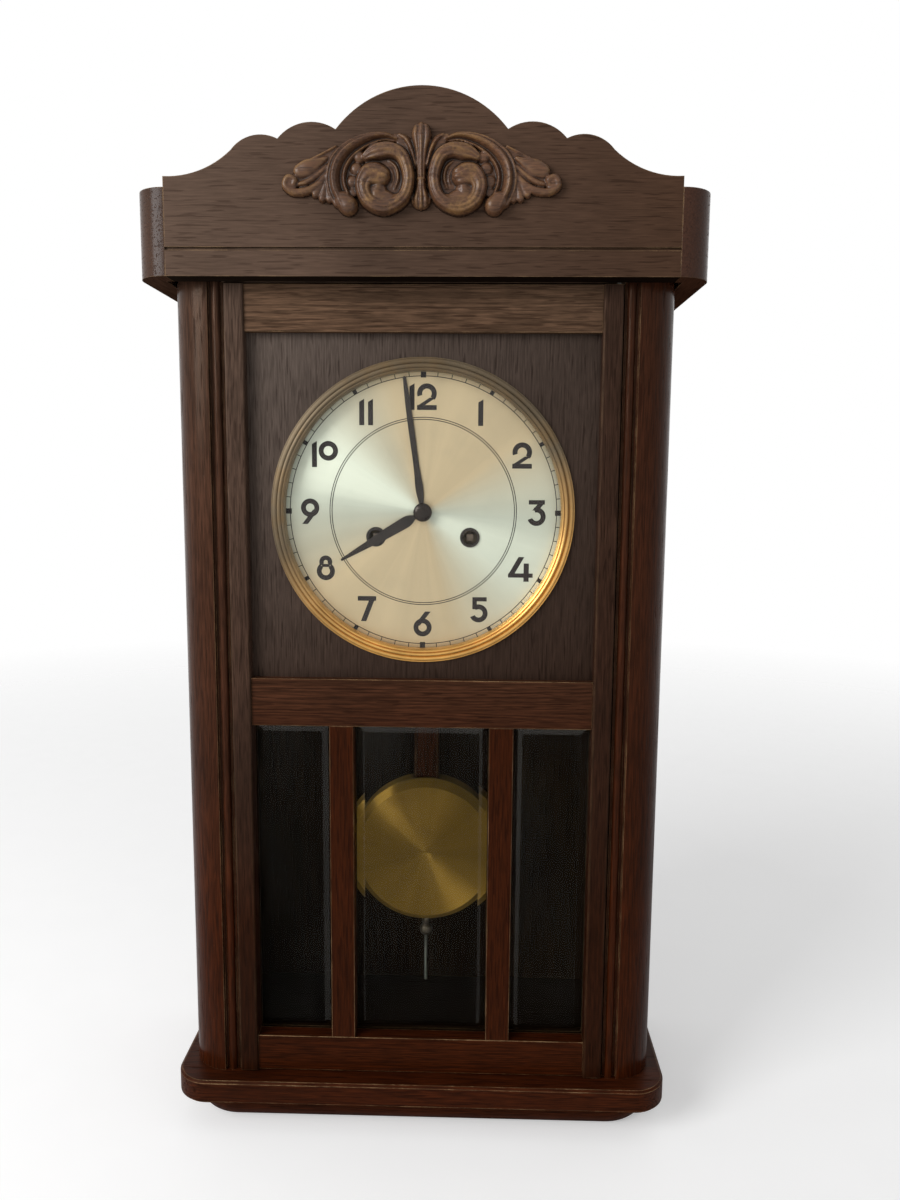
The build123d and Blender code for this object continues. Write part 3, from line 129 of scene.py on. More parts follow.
FRONDS = (
    ((56.6, -0.5, 1, 3.2), (61.6, -8, 2.2, 3.9)),
    ((55.6, -1, 1, 3.2), (57.6, -10.2, 2.3, 3.9)),
    ((54.6, -1.5, 1, 3.2), (53.4, -10.6, 2.2, 3.7)),
)
COLUMN = (
    (0, 1.5, 2.7, 6), (0, 9, 3.1, 6.4), (0, 17, 4.1, 6.8), (0, 24, 5.8, 6.8),
    (0, 26.6, 5.2, 6.2),
)
PALM_LEAF = ((3.4, 8, 1, 5), (5.6, 16, 1.3, 5.4), (8.6, 21.6, 1.3, 5), (12.6, 24.6, 0.9, 4.2))
FOOT = ((0, -1.5, 2.7, 6.4), (0, -6, 3.5, 6.4), (0, -9.2, 5, 6.2), (0, -10.8, 5.8, 5.8))
WAIST = ((0, 0, 0.9, 6.4), (2.2, 0.1, 0.8, 5.8))
LOBES = (
    (76.4, -2.6, 4.4, 4.4), (35.9, 12.4, 3.5, 4.6), (37.6, 5.8, 3.6, 4.4), (39.8, -1.2, 3.6, 4),
    (39.6, -7, 2.8, 3.6),
)
# The sunk ground inside a scroll, in millimetres
BOWL_MIDDLE = 20.6
BOWL_HALF = (14.5, 17.0)
BOWL_FLOOR = 3.2
# The carved surface: two limits in millimetres, passes of two blurs, sink of its back
LEAST_RISE = 0.3
DEEPEST_HOLLOW = 1.5
ROUNDING_PASSES = 1
HOLLOW_PASSES = 10
BACK_SINK = 0.02 * MM

# Bezel section in millimetres: inset from the rim and height over the panel
BEZEL_EDGE = ((0, 0), (0, 1), (0.2, 1.3), (0.7, 1.3), (0.9, 1))
BEZEL_LIP = ((6.9, 4.6), (7.1, 4.9), (7.4, 4.9), (8.3, 3.9))
BEZEL_SLEEVE = (8.3, 7.3)
# Its beads: insets of both sides and height of the base
OUTER_BEAD = (1, 4.2, 2)
OUTER_BEAD_RISE = 1.5
INNER_BEAD = (4.3, 6.8, 3.8)

# Minute marks by their period: half width, and reach past the inner and the outer line of the track
MARKS = {15: (1.7 * MM, 1.0 * MM, 0.6 * MM), 5: (1.3 * MM, 0.0, -0.6 * MM)}
# Levels of the print: their number, and their lift and distance as shares of the ink
PRINT_LEVELS = 3
PRINT_LIFT = 1.2
PRINT_STEP = 0.2

# The rating nut's radii and its shoulder's height as shares of its ball, the bearings between which the
# ball is round, and the knurling of its rim
NUT_BORE = 0.36
NUT_COLLAR = 0.63
NUT_NECK = 0.44
NUT_SHOULDER = 1.2
BALL_ROUND = (0.12 * math.pi, 0.88 * math.pi)
KNURLS = 24
KNURL_DEPTH = 0.03
KNURL_START = 0.9
NUT_STEPS = 6 * KNURLS
THREAD_PITCH = 0.7 * MM

# The stage
WHITE = (1.0, 1.0, 1.0, 1.0)
WHITE_TO = ("Is Camera Ray", "Is Glossy Ray", "Is Transmission Ray")
KEY_PLACE = Vector((-1.25, -1.25, 0.42))
KEY_TARGET = Vector((0.0, -0.1, -0.25))
FLOOR_GAP = 0.2 * MM
FLOOR_GLOW = 0.34
SENSOR_WIDTH = 36.0
CAMERA_PLACE = (33.31 * MM, -730.69 * MM, -142.22 * MM)
CAMERA_TURNS = (("Z", -1.466), ("Y", 0.627), ("X", 7.444))


def paint(name, description, *levels):
    """A colour property from display levels of 0 to 255."""
    shade = [level / 255 for level in levels]
    kind = {"subtype": "COLOR_GAMMA", "size": 3, "min": 0, "max": 1}
    return FloatVectorProperty(name=name, description=description, default=shade, **kind)


def length(name, description, millimetres):
    """A length property written in millimetres."""
    return FloatProperty(name=name, description=description, subtype="DISTANCE", default=millimetres * MM)


class ClockTones(bpy.types.PropertyGroup):
    """Colours of the clock's finishes, as they show under plain light."""

    crown: paint("Crown oak", "Crown and header", 67, 47, 35)
    # Tones named lit are painted light: the oak turns paler towards the upper left and the top, where the
    # light falls
    crown_lit: paint("Crown oak, bleached", "Greyed by light, at the left", 94, 76, 65)
    crown_end: paint("Crown ends", "Rounded ends of the crown", 66, 41, 29)
    case: paint("Case oak", "Posts, plinth and sides", 55, 22, 7)
    case_lit: paint("Case oak, top", "Bleached posts and crown end", 68, 48, 37)
    rail: paint("Rail oak", "Rails and mullions", 52, 20, 5)
    rail_lit: paint("Rail oak, top", "Bleached top rail", 93, 71, 55)
    stile: paint("Stile oak", "Stiles of the door", 38, 16, 6)
    stile_lit: paint("Stile oak, top", "Bleached stiles", 86, 69, 59)
    panel: paint("Panel oak", "Panel round the dial", 38, 21, 12)
    panel_lit: paint("Panel oak, top", "Bleached panel", 102, 91, 84)
    # The inside tone is the stain of the back board and beads, and at half strength painted shade on the
    # plinth inside the case
    inside: paint("Inside oak", "Stain inside the case", 28, 17, 9)
    carving: paint("Carving", "Applied carving", 92, 63, 44)
    # The gilt is partly wear on rubbed crests and partly a painted highlight
    rubbed_gilt_and_highlight: paint("Rubbed crests", "Golden crests of the carving", 156, 118, 72)
    worn: paint("Worn oak", "Wood where the finish is rubbed off", 182, 148, 108)
    # The dial's silver is a painted highlight, along the way the brushing would catch the light; its warm
    # tone shows elsewhere
    dial: paint("Dial", "Silver of the spun dial", 194, 196, 182)
    dial_warm: paint("Dial, warm", "Warm wedges of the spun dial", 212, 190, 156)
    print: paint("Dial print", "Ink of the numerals and the track", 44, 37, 36)
    bezel: paint("Bezel", "Golden brass of the bezel", 228, 176, 100)
    # Dull brass: painted shade at the top of the bezel; on the plates tarnish, kept dark also for the shade
    # seen through the winding holes
    dull_brass_and_shade: paint("Bezel, dull", "Tarnished bezel and plates", 126, 112, 92)
    bob: paint("Bob", "Olive brass of the bob", 138, 104, 42)
    brass: paint("Movement brass", "Wheels and catch", 176, 142, 78)
    steel: paint("Steel", "Pins, pillars, levers and springs", 128, 124, 118)
    arbor: paint("Arbors", "Winding squares and rating nut", 112, 98, 86)
    hands: paint("Hands", "Hands, nut and grommets", 44, 35, 31)
    iron: paint("Gong iron", "Gong block", 50, 48, 46)


class DialSizes(bpy.types.PropertyGroup):
    """Sizes of what is printed on the dial."""

    numeral_circle: length("Numeral circle", "Radius through the numerals' middles", 72.4)
    stroke: length("Stroke", "Width of the numerals' strokes", 3.2)
    track_inner: length("Track inner", "Radius of the minute track's inner line", 85.2)
    track_outer: length("Track outer", "Radius of the minute track's outer line", 89)
    ring: length("Inner ring", "Mean radius of the double ring", 59)
    ring_gap: length("Ring gap", "Distance between its two lines", 1.3)
    line: length("Line", "Width of the thin lines", 0.5)
    ink: length("Ink", "Thickness of the print", 0.04)


class CarvingSizes(bpy.types.PropertyGroup):
    """Sizes of the applied carving."""

    step: length("Grid step", "Distance between its points", 0.42)
    above_crown: length("Height", "Height of its waist over the crown's foot", 53.6)


class StageSizes(bpy.types.PropertyGroup):
    """Light and camera."""

    key: FloatProperty(name="Key", description="Power of the key light", default=24, unit="POWER")
    key_size: length("Key size", "Side of the key light", 900)
    fill: FloatProperty(name="Fill", description="Level of the even light from all round", default=0.4)
    lens: FloatProperty(name="Lens", description="Focal length", default=28.33, unit="CAMERA")
    fade: length("Floor fade", "Distance at which the floor ends", 1900)


def tones():
    """The scene's colour settings."""
    return bpy.context.scene.clock_tones


def linear(colour, gain=1.0):
    """A display colour as a shader colour: the sRGB curve undone, times a gain."""
    level = np.array(colour)
    flat = np.where(level <= 0.04045, level / 12.92, ((level + 0.055) / 1.055) ** 2.4)
    return (*(flat * gain), 1.0)


class Nodes:
    """A node tree under construction: short calls add a node, wire its inputs and give back an output."""

    def __init__(self, tree):
        self.tree = tree

    def add(self, kind, inputs=None, output=0, **settings):
        made = self.tree.nodes.new("ShaderNode" + kind)
        for key, value in settings.items():
            setattr(made, key, value)
        for key, value in (inputs or {}).items():
            self.wire(made.inputs[key], value)
        return made.outputs[output]

    def wire(self, socket, value):
        if isinstance(value, bpy.types.NodeSocket):
            self.tree.links.new(value, socket)
        else:
            socket.default_value = value

    def math(self, operation, first, second=0.0):
        return self.add("Math", {0: first, 1: second}, operation=operation)

    def times(self, first, second):
        return self.math("MULTIPLY", first, second)

    def vector(self, operation, first, second=(0.0, 0.0, 0.0), output=0):
        return self.add("VectorMath", {0: first, 1: second}, output, operation=operation)

    def part(self, vector, axis):
        return self.add("SeparateXYZ", {0: vector}, axis)

    def span(self, value, low, high, start=0.0, end=1.0):
        """A value carried from one range to another and held at its ends."""
        limits = {"Value": value, "From Min": low, "From Max": high, "To Min": start, "To Max": end}
        return self.add("MapRange", limits)

    def mix(self, factor, first, second, blend="MIX"):
        inputs = {0: factor, 6: first, 7: second}
        return self.add("Mix", inputs, 2, data_type="RGBA", blend_type=blend)

    def shade(self, colour, level):
        """A colour times a level, or times another colour."""
        return self.mix(1.0, colour, level, "MULTIPLY")

    def bump(self, height, distance, strength, normal=None):
        inputs = {"Height": height, "Distance": distance, "Strength": strength}
        if normal is not None:
            inputs["Normal"] = normal
        return self.add("Bump", inputs)


class Finish(Nodes):
    """A material under construction, laid out by the object's own coordinates."""

    def __init__(self, name):
        self.material = bpy.data.materials.new(name)
        self.material.use_nodes = True
        super().__init__(self.material.node_tree)
        self.shader = self.tree.nodes["Principled BSDF"]
        self.place = self.add("TexCoord", output="Object")

    def stretch(self, scale):
        return self.add("Mapping", {"Vector": self.place, "Scale": scale})

    def noise(self, scale, detail=2, roughness=0.5, place=None):
        place = self.place if place is None else place
        inputs = {"Vector": place, "Scale": scale, "Detail": detail, "Roughness": roughness}
        return self.add("TexNoise", inputs)

    def surface(self, **inputs):
        """Sets the shader's inputs, with an underscore for each space."""
        for key, value in inputs.items():
            self.wire(self.shader.inputs[key.replace("_", " ")], value)

    def blend(self, share, first, second):
        return self.add("MixShader", {0: share, 1: first, 2: second})

    def replace_shader(self, shader):
        """Puts a shader of its own in the place of the first one."""
        self.tree.nodes.remove(self.shader)
        self.tree.links.new(shader, self.tree.nodes["Material Output"].inputs["Surface"])


# Settings of every cloudy noise
CLOUDY = {"detail": 4, "roughness": 0.6}
# Oak's figure is drawn out along its grain: the scale of each axis, and the same for its growth rings
GRAIN = {"X": (0.06, 1.0, 1.0), "Y": (1.0, 0.06, 1.0), "Z": (1.0, 1.0, 0.06)}
RING_GRAIN = {axis: np.power(scale, 1.25) for axis, scale in GRAIN.items()}
RING_COUNT = 20
RING_FRAY = 0.012
FLECK_TINT = (0.3, 0.26, 0.26, 1.0)
# Oak's finish: reach of wear at edges, the range of a normal's Z over which faces that look down lose their
# varnish mirror
# # and take painted shade, and the varnish's mirror, warm when thin and clear from a level on
RUB_REACH = 0.8 * MM
UNDERSIDE = (-0.7, -0.3)
GLOSSY_LEVEL = 0.1
WARM_MIRROR = (1.0, 0.76, 0.58, 1.0)
CLEAR_MIRROR = (0.9, 0.96, 1.0, 1.0)
# Spun metal: the direction of its painted highlight, along which its brushing would shine, and the one from
# which painted shade dulls it at the top
PAINTED_SHINE_WAY = (-0.94, 0.0, 0.34)
PAINTED_SHADE_WAY = (-0.34, 0.0, 0.94)
FILE_MARK = 0.03 * MM
THREAD_DEPTH = 0.15 * MM
# Glass: smears run upright, and the dial's mirror is weaker than that of bare glass
SMEAR = (1.0, 1.0, 0.35)
DIAL_GLASS_IOR = 1.22
PLATE_GLASS = {"IOR": 1.5, "Roughness": 0.0, "Color": (0.93, 0.95, 0.92, 1.0)}
FACE_MIRROR = 0.002
BEVEL_MIRROR = 0.022


def oak_tone(look, tone, axis, contrast, rings, pale=None, fade=(1.0, 0.0)):
    """Oak's figure along an axis: growth rings, as level lines of a long slow noise, then narrow streaks,
    dark flecks and slow blotches. A second, paler tone is painted light falling from the upper left: whole
    there, it fades to a share at the right and another at the foot. Returns the colour, its relief and the
    flecks."""
    base = linear(tone)
    # Painted light: the lit tone is mixed in where the light falls, at the upper left and the top
    if pale is not None:
        x, z = look.part(look.place, "X"), look.part(look.place, "Z")
        side = look.span(x, CAD_BOX[1][0], CAD_BOX[0][0], fade[0], 1.0)
        rise = look.span(z, LIT_PAINT_FOOT, CROWN_LOW.z, fade[1], 1.0)
        base = look.mix(look.times(side, rise), base, linear(pale))
    grain = look.stretch(GRAIN[axis])
    streak = look.noise(1000, detail=3, roughness=0.6, place=grain)
    slow = look.noise(64, detail=1, roughness=0.4, place=look.stretch(RING_GRAIN[axis]))
    slow = look.math("ADD", slow, look.times(streak, RING_FRAY))
    ring = look.math("SINE", look.times(slow, math.tau * RING_COUNT))
    flecks = look.span(look.noise(780, detail=1, place=grain), 0.6, 0.65)
    level = look.span(streak, 0.34, 0.66, start=1.0 - contrast, end=1.0 + contrast)
    banding = look.span(ring, -0.9, 0.3, start=1.0 - rings, end=1.0 + 0.5 * rings)
    blotch = look.span(look.noise(8, **CLOUDY), 0.3, 0.7, start=0.78, end=1.22)
    colour = look.shade(base, look.times(look.times(level, banding), blotch))
    dark = look.shade(base, FLECK_TINT)
    colour = look.mix(look.times(flecks, 0.4 + 0.4 * contrast), colour, dark)
    relief = look.math("SUBTRACT", look.times(streak, 0.5), flecks)
    return colour, relief, flecks


def oak(
    name, tone, axis, pale=None, fade=(1.0, 0.0), contrast=0.4, rings=0.3, wear=0.7, gloss=0.4, shine=0.08,
    inside=False, under=1.0
):
    """Stained and varnished oak, rubbed pale along its edges and chipped there in patches. The varnish is
    brown where it is thin, so that it mirrors warm, and clear where it is glossy. Faces that look down are
    left bare, without a mirror, and a factor darkens them as painted shade. Wood behind the door, inside
    the case, is darkened as painted shade."""
    look = Finish(name)
    colour, relief, flecks = oak_tone(look, tone, axis, contrast, rings, pale, fade)
    edge = look.add("Bevel", {"Radius": RUB_REACH}, samples=4)
    normal = look.add("NewGeometry", output="Normal")
    level = look.vector("DOT_PRODUCT", edge, normal, "Value")
    rubbed = look.span(level, 0.998, 0.93)
    patch = look.span(look.noise(40, detail=6, roughness=0.75), 0.46, 0.62, start=0.22)
    worn = look.times(look.times(rubbed, patch), wear)
    colour = look.mix(worn, colour, linear(tones().worn))
    # Painted shade: inside the case, behind the door, the oak darkens to half the inside tone, standing in
    # for the shade there
    if inside:
        x = look.math("ABSOLUTE", look.part(look.place, "X"))
        behind = look.span(look.part(look.place, "Y"), DOOR_BACK, DOOR_BACK + 1.0 * MM)
        painted_inside_shade = look.times(behind, look.math("LESS_THAN", x, CASE_INSIDE))
        colour = look.mix(painted_inside_shade, colour, linear(tones().inside, 0.5))
    facing = look.part(normal, "Z")
    look.surface(
        # Painted shade: faces that look down are darkened by the underside factor, as under the crown
        Base_Color=look.shade(colour, look.span(facing, *UNDERSIDE, under, 1.0)),
        Roughness=look.span(flecks, 0.0, 1.0, gloss, gloss + 0.3),
        Specular_IOR_Level=look.span(facing, *UNDERSIDE, 0.0, shine),
        Specular_Tint=WARM_MIRROR if shine < GLOSSY_LEVEL else CLEAR_MIRROR,
        Normal=look.bump(relief, 0.1 * MM, 0.5, edge),
    )
    return look.material


def carved_oak():
    """Stained oak of the carving: painted shade darkens its grooves, and its crests turn golden, partly
    where dusters have rubbed them and partly as a painted highlight.
    """
    look = Finish("carved_oak")
    tone = tones()
    colour, relief, flecks = oak_tone(look, tone.carving, "X", contrast=0.3, rings=0.1)
    hollow = look.add("Attribute", output="Fac", attribute_name="hollow")
    rise = look.add("Attribute", output="Fac", attribute_name="rise")
    # Painted shade: the grooves darken to about an eighth of the carving's tone
    groove_shade = look.span(hollow, 0.05, 0.8, end=0.9)
    colour = look.mix(groove_shade, colour, linear(tone.carving, 0.12))
    # Crests and ridges turn golden in patches: partly rubbed wear, partly a painted highlight
    crest = look.span(rise, 0.7, 1.0)
    ridge = look.span(hollow, -0.05, -0.4, end=0.6)
    patch = look.span(look.noise(46, detail=7, roughness=0.8), 0.47, 0.6)
    rubbed = look.times(look.math("MAXIMUM", crest, ridge), patch)
    colour = look.mix(look.times(rubbed, 0.75), colour, linear(tone.rubbed_gilt_and_highlight))
    look.surface(
        Base_Color=colour,
        Roughness=look.span(flecks, 0.0, 1.0, 0.34, 0.6),
        Specular_IOR_Level=0.3,
        Normal=look.bump(relief, 0.08 * MM, 0.4),
    )
    return look.material


def spun_metal(
    name, tone, centre, roughness, sheen, stain, across=None, dull=None, metallic=1.0, grain=0.85
):
    """Metal brushed in circles: a painted sheen in wedges round a centre, fine rings, and cloudy tarnished
    patches. A second tone, a painted highlight, shows across the diameter where the brushing would catch
    the light, and a dull one, painted shade, spreads from the top."""
    look = Finish(name)
    offset = look.vector("SUBTRACT", look.place, tuple(centre))
    offset = look.vector("MULTIPLY", offset, (1.0, 0.0, 1.0))
    bearing = look.vector("NORMALIZE", offset)
    reach = look.vector("LENGTH", offset, output="Value")
    painted_sheen_wedge = look.noise(2.2, detail=6, roughness=0.68, place=bearing)
    lines = {"W": reach, "Scale": 2600.0, "Detail": 2.0}
    ring = look.add("TexNoise", lines, noise_dimensions="1D")
    colour = linear(tone)
    painted_top_shade = 0.0
    # Painted highlight: the metal's tone shows along the shine direction and the second tone away from it
    if across is not None:
        painted_highlight_share = look.math("ABSOLUTE", look.vector("DOT_PRODUCT", bearing, PAINTED_SHINE_WAY, "Value"))
        colour = look.mix(look.span(painted_highlight_share, 0.55, 0.97), linear(across), colour)
    # Painted shade: the dull tone spreads from the top, standing in for dimmer reflections there
    if dull is not None:
        rise = look.vector("DOT_PRODUCT", bearing, PAINTED_SHADE_WAY, "Value")
        painted_top_shade = look.span(rise, -0.75, 0.1)
        colour = look.mix(painted_top_shade, colour, linear(dull))
    # Painted sheen: brightness rises and falls in wedges round the centre
    level = look.span(painted_sheen_wedge, 0.36, 0.64, start=1.0 - sheen, end=1.0 + sheen)
    colour = look.shade(colour, level)
    cloud = look.span(look.noise(42, **CLOUDY), 0.5, 0.72, end=stain)
    colour = look.mix(cloud, colour, linear(tone, 0.4))
    dulled = look.math("MAXIMUM", cloud, painted_top_shade)
    look.surface(
        Base_Color=colour,
        Metallic=metallic,
        Roughness=look.span(dulled, 0.0, 1.0, roughness, roughness + 0.3),
        Anisotropic=grain,
        Tangent=bearing,
        Normal=look.bump(ring, 0.02 * MM, 0.3),
    )
    return look.material


def worked_metal(name, tone, roughness, metallic=1.0, thread=0.0):
    """Plain metal with file marks and dull spots. A thread of a given pitch has turned grooves instead of
    file marks: their depth is a sine along Z."""
    look = Finish(name)
    height, depth = look.noise(900, place=look.stretch((1.0, 1.0, 0.15))), FILE_MARK
    if thread:
        along = look.part(look.place, "Z")
        height, depth = look.math("SINE", look.times(along, math.tau / thread)), THREAD_DEPTH
    spot = look.span(look.noise(130, **CLOUDY), 0.48, 0.7)
    look.surface(
        Base_Color=look.mix(spot, linear(tone), linear(tone, 0.5)),
        Metallic=metallic,
        Roughness=look.span(spot, 0.0, 1.0, roughness, roughness + 0.25),
        Normal=look.bump(height, depth, 0.5),
    )
    return look.material


def printed_ink():
    """Flat dark ink, a little uneven in strength."""
    look = Finish("printed_ink")
    patch = look.noise(420, detail=3)
    look.surface(
        Base_Color=look.mix(patch, linear(tones().print, 0.8), linear(tones().print, 1.2)),
        Roughness=look.span(patch, 0.0, 1.0, 0.5, 0.7),
        Specular_IOR_Level=0.3,
    )
    return look.material


def clear_glass():
    """Flat glass over the dial: clear, with a weak mirror that grows at a slant, and a faint haze."""
    look = Finish("flat_glass")
    cloud = look.noise(28, **CLOUDY, place=look.stretch(SMEAR))
    smear = look.span(cloud, 0.4, 0.75, end=0.012)
    clear = look.add("BsdfTransparent", {"Color": (0.98, 0.99, 0.98, 1.0)})
    mirror = look.add("BsdfGlossy", {"Roughness": 0.03})
    film = look.add("BsdfDiffuse", {"Color": (0.5, 0.5, 0.48, 1.0)})
    outside = look.math("SUBTRACT", 1.0, look.add("NewGeometry", output="Backfacing"))
    share = look.times(look.add("Fresnel", {"IOR": DIAL_GLASS_IOR}), outside)
    look.replace_shader(look.blend(smear, look.blend(share, clear, mirror), film))
    return look.material


def bevelled_glass():
    """Bevelled plate: it bends what is seen through it and mirrors a little, more on its bevels, whose
    normal leaves the Y axis. Light and shadow pass straight through."""
    look = Finish("bevelled_glass")
    normal = look.add("NewGeometry", output="Normal")
    facing = look.math("ABSOLUTE", look.part(normal, "Y"))
    cloud = look.noise(24, **CLOUDY, place=look.stretch(SMEAR))
    smear = look.span(cloud, 0.35, 0.75, end=0.005)
    bevel = look.span(facing, 0.9995, 0.99, FACE_MIRROR, BEVEL_MIRROR)
    bent = look.add("BsdfRefraction", PLATE_GLASS)
    mirror = look.add("BsdfGlossy", {"Roughness": 0.04, "Color": (1.0, 0.95, 0.88, 1.0)})
    plate = look.blend(look.math("ADD", bevel, smear), bent, mirror)
    shadow = look.add("LightPath", output="Is Shadow Ray")
    bounce = look.add("LightPath", output="Is Diffuse Ray")
    clear = look.add("BsdfTransparent", {"Color": (0.9, 0.92, 0.9, 1.0)})
    look.replace_shader(look.blend(look.math("MAXIMUM", shadow, bounce), plate, clear))
    return look.material


def coat(material, *names):
    """Gives CAD nodes a look."""
    for name in names:
        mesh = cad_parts[name].data
        mesh.materials.clear()
        mesh.materials.append(material)


def add_object(data):
    """An object of the scene, named like its data."""
    made = bpy.data.objects.new(data.name, data)
    bpy.context.scene.collection.objects.link(made)
    return made


def make_piece(name, points, faces, material, body, smooth=True):
    """A mesh piece from point and face arrays, riding on a body. Doubled points merge."""
    mesh = bpy.data.meshes.new(name)
    mesh.from_pydata(np.asarray(points).reshape(-1, 3), [], np.asarray(faces).tolist())
    shape = bmesh.new()
    shape.from_mesh(mesh)
    bmesh.ops.remove_doubles(shape, verts=shape.verts, dist=1e-7)
    bmesh.ops.recalc_face_normals(shape, faces=shape.faces)
    shape.to_mesh(mesh)
    shape.free()
    if smooth:
        mesh.shade_smooth()
    mesh.materials.append(material)
    piece = add_object(mesh)
    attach(piece, body)
    return piece


def grid_faces(rows, columns):
    """Four-sided faces of a grid of points, row after row."""
    number = np.arange(rows * columns).reshape(rows, columns)
    return np.stack([number[:-1, :-1], number[:-1, 1:], number[1:, 1:], number[1:, :-1]], -1).reshape(-1, 4)


def lathe(profile, centre, axis, steps):
    """A turned surface: each profile point, given as radius and distance along an axis, goes round it."""
    turn = np.linspace(0.0, math.tau, steps + 1)[:, None]
    radius, along = np.asarray(profile).T
    ring = radius * np.cos(turn), radius * np.sin(turn)
    run = np.broadcast_to(along, ring[0].shape)
    order = (ring[0], run, ring[1]) if axis == "Y" else (ring[0], ring[1], run)
    return np.stack(order, -1) + np.asarray(centre), grid_faces(steps + 1, len(radius))


def smooth_path(points, count):
    """A Catmull-Rom curve: between two points, the cubic whose slope at each point is half the step between
    that point's neighbours."""
    keys = np.asarray(points, float)
    keys = np.vstack([2 * keys[0] - keys[1], keys, 2 * keys[-1] - keys[-2]])
    place = np.linspace(0.0, len(points) - 1, count)
    first = np.minimum(place.astype(int), len(points) - 2)
    part = (place - first)[:, None]
    a, b, c, d = (keys[first + shift] for shift in range(4))
    slope = c - a
    bend = 2 * a - 5 * b + 4 * c - d
    twist = -a + 3 * b - 3 * c + d
    return b + 0.5 * part * (slope + part * (bend + part * twist))


def band_height(across, up, points, section=None, base=2.0, power=2.0, ridges=0, depth=0.5, count=120):
    """Height of a rounded band: its base, plus the rest of its crest times the root of 1 - r^power, where r
    is the distance from the path over the half width. A section gives shares of the crest from its outer
    edge at -1 to its inner edge at 1 instead. Ridges stand between grooves: half of one less a cosine
    across the width, squared."""
    path = smooth_path(points, count).astype(np.float32)
    reach = np.hypot(across[..., None] - path[:, 0], up[..., None] - path[:, 1]) / path[:, 2]
    near = reach.argmin(-1)
    nearest = np.take_along_axis(reach, near[..., None], -1)[..., 0]
    way = np.gradient(path[:, :2], axis=0)
    way /= np.maximum(np.linalg.norm(way, axis=1, keepdims=True), 1e-6)
    side = (across - path[near, 0]) * way[near, 1] - (up - path[near, 1]) * way[near, 0]
    side = side / path[near, 2]
    if section is None:
        height = base + (path[near, 3] - base) * np.sqrt(np.clip(1.0 - nearest**power, 0.0, 1.0))
    else:
        height = path[near, 3] * np.interp(side, section[:, 0], section[:, 1])
    height = height - depth * (0.5 - 0.5 * np.cos(math.pi * ridges * side)) ** 2
    return np.where(nearest < 1.0, height, 0.0)


def soften(field, passes):
    """A field blurred by the 1-2-1 filter along one axis and then the other, in each pass."""
    for _ in range(2 * passes):
        edged = np.pad(field, ((1, 1), (0, 0)), mode="edge")
        field = ((edged[:-2] + 2 * edged[1:-1] + edged[2:]) / 4).T
    return field


def carving_height(across, up):
    """Height of the carving over the crown: the highest of its bands, leaves, lobes and grounds there."""
    band = partial(band_height, across, up)
    bowl = ((across - BOWL_MIDDLE) / BOWL_HALF[0]) ** 2 + (up / BOWL_HALF[1]) ** 2
    layers = [
        np.where(bowl < 1.0, BOWL_FLOOR, 0.0),
        band(VOLUTE, power=3.4, ridges=3, depth=0.8, count=220),
        band(SWIRL_FILL, power=3.0, ridges=2, depth=0.6),
        band(OUTER_BAND, BAND_SECTION, count=160),
        band(BAND_END, power=2.4),
        band(LEAF_LOBE, power=2.4),
        band(TIP_CURL, count=160),
        band(COLUMN, ridges=3, depth=1.3),
        band(FOOT, ridges=4, depth=1.3),
    ]
    grounds = (LEAF_GROUND, LOBE_GROUND, PALM_GROUND)
    layers += [band(ground, base=1.8) for ground in grounds]
    ridges = (LEAF_EDGE, LEAF_VEIN, PALM_LEAF, WAIST, *FLUTES, *FRONDS)
    layers += [band(ridge) for ridge in ridges]
    layers += [band((lobe, lobe), power=2.4, count=2) for lobe in LOBES]
    return np.maximum.reduce(layers)


def relief_shell(x, z, height, back):
    """A closed shell of a height field: raised cells in front, a flat back, and walls along the outer
    cells. Returns points, faces and each point's number in the field."""
    rows, columns = height.shape
    cells = grid_faces(rows, columns).reshape(rows - 1, columns - 1, 4)
    solid = height.ravel()[cells].max(-1) > 0.0
    front = cells[solid]
    parts = [front, front[:, ::-1] + height.size]
    edged = np.pad(solid, 1)
    neighbours = (edged[:-2, 1:-1], edged[1:-1, 2:], edged[2:, 1:-1], edged[1:-1, :-2])
    for side, neighbour in enumerate(neighbours):
        rim = cells[solid & ~neighbour]
        start, end = rim[:, side], rim[:, (side + 1) % 4]
        parts.append(np.stack([start, start + height.size, end + height.size, end], -1))
    faces = np.concatenate(parts)
    front_points = np.stack([x, back - height, z], -1).reshape(-1, 3)
    back_points = np.stack([x, np.full_like(x, back + BACK_SINK), z], -1).reshape(-1, 3)
    used, faces = np.unique(faces, return_inverse=True)
    return np.concatenate([front_points, back_points])[used], faces.reshape(-1, 4), used % height.size


def ribbon(x0, y0, x1, y1, side):
    """A stroke's two edges, one on each side of a line by the same step."""
    start, end = np.array((x0, y0)), np.array((x1, y1))
    return np.array([[start + side, end + side], [start - side, end - side]])


def straight(x0, y0, x1, y1, half):
    """A straight stroke, cut square: its edges lie a half width from the line."""
    across = np.array((y0 - y1, x1 - x0))
    return ribbon(x0, y0, x1, y1, half * across / np.linalg.norm(across))


def slanted(x0, y0, x1, y1, half):
    """A slanted stroke, cut level: its edges are moved sideways."""
    return ribbon(x0, y0, x1, y1, np.array((-half, 0.0)))


def bow(x, y, radius, first, last, half):
    """A round stroke: two arcs a half width inside and outside a radius, between bearings in degrees."""
    turn = np.radians(np.linspace(first, last, 48))
    ring = np.stack([np.cos(turn), np.sin(turn)], -1)
    return np.array((x, y)) + np.array([(radius + half) * ring, (radius - half) * ring])


def bar_with_slant(x, half):
    """The figure one: an upright bar whose top edge rises to the right."""
    return np.array([[(x - half, -8.2), (x - half, 6.3)], [(x + half, -8.2), (x + half, 8.2)]])


def six(half):
    """The figure six: a ring with a slanted stem. Turned round it is the nine."""
    return [bow(0, -2.2, 5.9 - half, 0, 360, half), slanted(3.4, 8.2, -3.6, -1, half * 1.15)]


